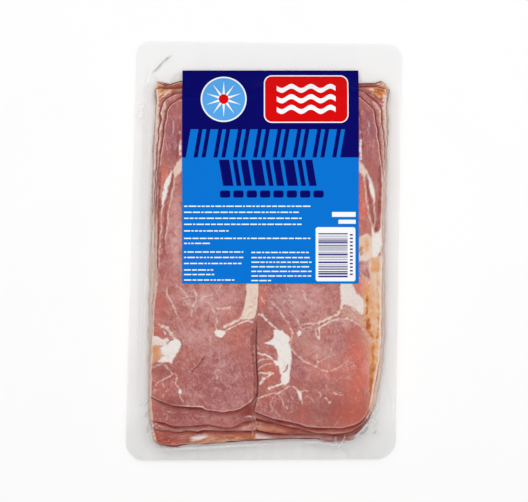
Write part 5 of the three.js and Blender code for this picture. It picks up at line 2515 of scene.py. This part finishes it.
    def bands(self) -> list[bpy.types.Object]:
        """The bands of plain shapes across the label's middle.

        Returns:
            The objects of the two bands.
        """
        blue, navy = Shapes(), Shapes()
        blue_across, blue_down, blue_widths = (2.6, 121.0), (41.6, self.navy_height), (5.4, 2.6)
        navy_across, navy_down, navy_widths = (28.6, 100.0), (62.8, 81.0), (7.2, 3.2, 5.2)
        self.row_of_bars(blue, blue_across, blue_down, blue_widths, gap=2.9, lean=3.4)
        self.row_of_bars(navy, navy_across, navy_down, navy_widths, gap=2.3, lean=-3.0)
        left, top, right, bottom, radius, pitch, count = 26.4, 84.2, 33.6, 89.2, 1.4, 9.3, 8
        for i in range(count):
            navy.rectangle(left + pitch * i, top, right + pitch * i, bottom, radius)
        return [
            self.printed("print_band_blue", Ink.BLUE, blue),
            self.printed("print_band_navy", Ink.NAVY, navy),
        ]

    @staticmethod
    def row_of_bars(shapes: Shapes, across: Place, down: Place, widths: Sequence[float],
                    gap: float, lean: float) -> None:
        """Adds a row of slanting bars that take turns in width.

        Args:
            shapes: where they are added.
            across: where the row starts and ends.
            down: top and bottom of the bars.
            widths: the widths, in turn.
            gap: space between two bars.
            lean: how far a bar's top leans to the right.
        """
        left, count = across[0], 0
        while left + widths[count % len(widths)] + max(lean, 0) < across[1]:
            width = widths[count % len(widths)]
            shapes.slant(left, down[0], width, down[1] - down[0], lean)
            left += width + gap
            count += 1

    def lines(self) -> bpy.types.Object:
        """Rows of short white dashes where the small print is, and two bars for the weight.

        Returns:
            The object of dashes and bars.
        """
        bars = ((104.5, 99.2, 121.0, 102.6), (109.0, 104.6, 121.0, 107.4))
        # left end, right end and height of each row
        rows = (
            (1.4, 91.0, 95.2), (1.4, 83.3, 99.4), (1.4, 83.3, 103.6), (1.4, 83.3, 107.8),
            (1.4, 33.6, 112.4), (1.4, 89.6, 117.6), (1.4, 19.6, 121.1), (1.4, 42.7, 127.1),
            (1.4, 42.7, 130.9), (1.4, 42.7, 135.1), (1.4, 21.7, 139.6), (1.4, 22.4, 142.8),
            (1.4, 36.4, 146.6), (48.3, 90.3, 127.4), (48.3, 90.3, 131.0), (48.3, 90.3, 134.2),
            (48.3, 90.3, 137.4), (48.3, 90.3, 140.6), (48.3, 90.3, 143.8), (48.3, 62.0, 147.0),
        )
        draw = np.random.default_rng(12)
        shapes = Shapes()
        half, space, shortest, lengths = 0.42, 0.8, 1.2, (1.3, 5.6)
        for start, stop, y in rows:
            x = start
            while x < stop - shortest:
                length = min(draw.uniform(*lengths), stop - x)
                shapes.rectangle(x, y - half, x + length, y + half)
                x += length + space
        for bar in bars:
            shapes.rectangle(*bar)
        return self.printed("print_lines", Ink.WHITE, shapes)

    def barcode(self) -> list[bpy.types.Object]:
        """A plain ladder of bars on a white panel, with short ticks beside it.

        Returns:
            The panel's object and the bars' object.
        """
        panel, bars = Shapes(), Shapes()
        panel.rectangle(93.1, 109.8, 120.8, 147.5, radius=1.6)
        draw = np.random.default_rng(5)
        left, right, y, end, least = 95.0, 115.4, 114.0, 144.9, 0.3
        thicknesses, gaps = (0.42, 0.42, 0.84, 1.2), (0.42, 0.7, 1.0)
        while y < end - least:
            thickness = draw.choice(thicknesses)
            bars.rectangle(left, y, right, min(y + thickness, end))
            y += thickness + draw.choice(gaps)
        left, top, right, bottom, pitch, count = 117.0, 114.6, 119.0, 115.7, 2.5, 12
        for i in range(count):
            bars.rectangle(left, top + pitch * i, right, bottom + pitch * i)
        return [
            self.printed("print_bars_panel", Ink.WHITE, panel),
            self.printed("print_bars", Ink.BAR, bars, 2),
        ]


# Studio


@dataclass(frozen=True)
class Lamp:
    """A square soft light that points at the pack: place and size in metres, power in watts."""

    name: str
    place: tuple[float, float, float]
    size: float
    power: float
    mirrored: bool = True

    def build(self) -> None:
        """Sets up the light."""
        data = bpy.data.lights.new(self.name, "AREA")
        data.shape = "SQUARE"
        data.size = self.size
        data.energy = self.power
        lamp = bpy.data.objects.new(self.name, data)
        lamp.location = self.place
        lamp.rotation_euler = (-Vector(self.place)).to_track_quat("-Z", "Y").to_euler()
        lamp.visible_glossy = self.mirrored
        bpy.context.scene.collection.objects.link(lamp)


@dataclass
class Studio:
    """Floor, soft lights and the camera that looks straight down, in metres."""

    lamps: tuple[Lamp, ...] = (
        Lamp("header_left_light", (-0.75, 1.05, 2.0), 0.6, 7.0),
        Lamp("right_light", (1.0, 0.3, 2.0), 0.6, 6.0),
        Lamp("overhead_light", (0.0, 0.1, 2.9), 1.1, 57.0, mirrored=False),
    )
    camera_height: float = 2.5
    frame_width_px: float = 528.0
    sensor_mm: float = 36.0
    aim_height: float = 0.014
    floor_size: float = 8.0
    surround: float = 0.2

    def build(self) -> None:
        """Sets up the studio."""
        self.floor()
        for lamp in self.lamps:
            lamp.build()
        self.world()
        self.camera()
        bpy.context.scene.view_settings.view_transform = "Standard"

    def floor(self) -> None:
        """A plain pale floor."""
        bm = bmesh.new()
        bmesh.ops.create_grid(bm, x_segments=1, y_segments=1, size=self.floor_size / 2)
        piece = finished(mesh_from(bm, "floor"), "floor", smooth=False)
        piece.data.materials.append(FloorFinish().material())

    def world(self) -> None:
        """An even white surround."""
        world = bpy.data.worlds.new("surround")
        bpy.context.scene.world = world
        world.use_nodes = True
        background = world.node_tree.nodes["Background"]
        background.inputs["Color"].default_value = (1.0, 1.0, 1.0, 1.0)
        background.inputs["Strength"].default_value = self.surround

    def camera(self) -> None:
        """The camera of the photograph: straight above, with a long lens."""
        data = bpy.data.cameras.new("camera")
        data.sensor_width = self.sensor_mm
        view_width = self.frame_width_px * PHOTO.mm_per_pixel * MM
        data.lens = self.sensor_mm * (self.camera_height - self.aim_height) / view_width
        camera = bpy.data.objects.new("camera", data)
        camera.location = (0.0, 0.0, self.camera_height)
        bpy.context.scene.collection.objects.link(camera)
        bpy.context.scene.camera = camera


def report(pieces: Iterable[bpy.types.Object]) -> None:
    """Logs each piece's faces and size.

    Args:
        pieces: the finished objects.
    """
    for piece in pieces:
        size = " x ".join(f"{side / MM:.1f}" for side in piece.dimensions)
        log.info("%s: %d faces, %s mm", piece.name, len(piece.data.polygons), size)


def main() -> None:
    """Builds the pack and its studio."""
    logging.basicConfig(level=logging.INFO, format="%(name)s: %(message)s")
    stack = RasherStack()
    report(stack.build())
    drape = Drape(stack.rashers)
    report(FilmSkins(drape).build())
    report(Label(drape).build())
    Studio().build()


if __name__ == "__main__":
    main()
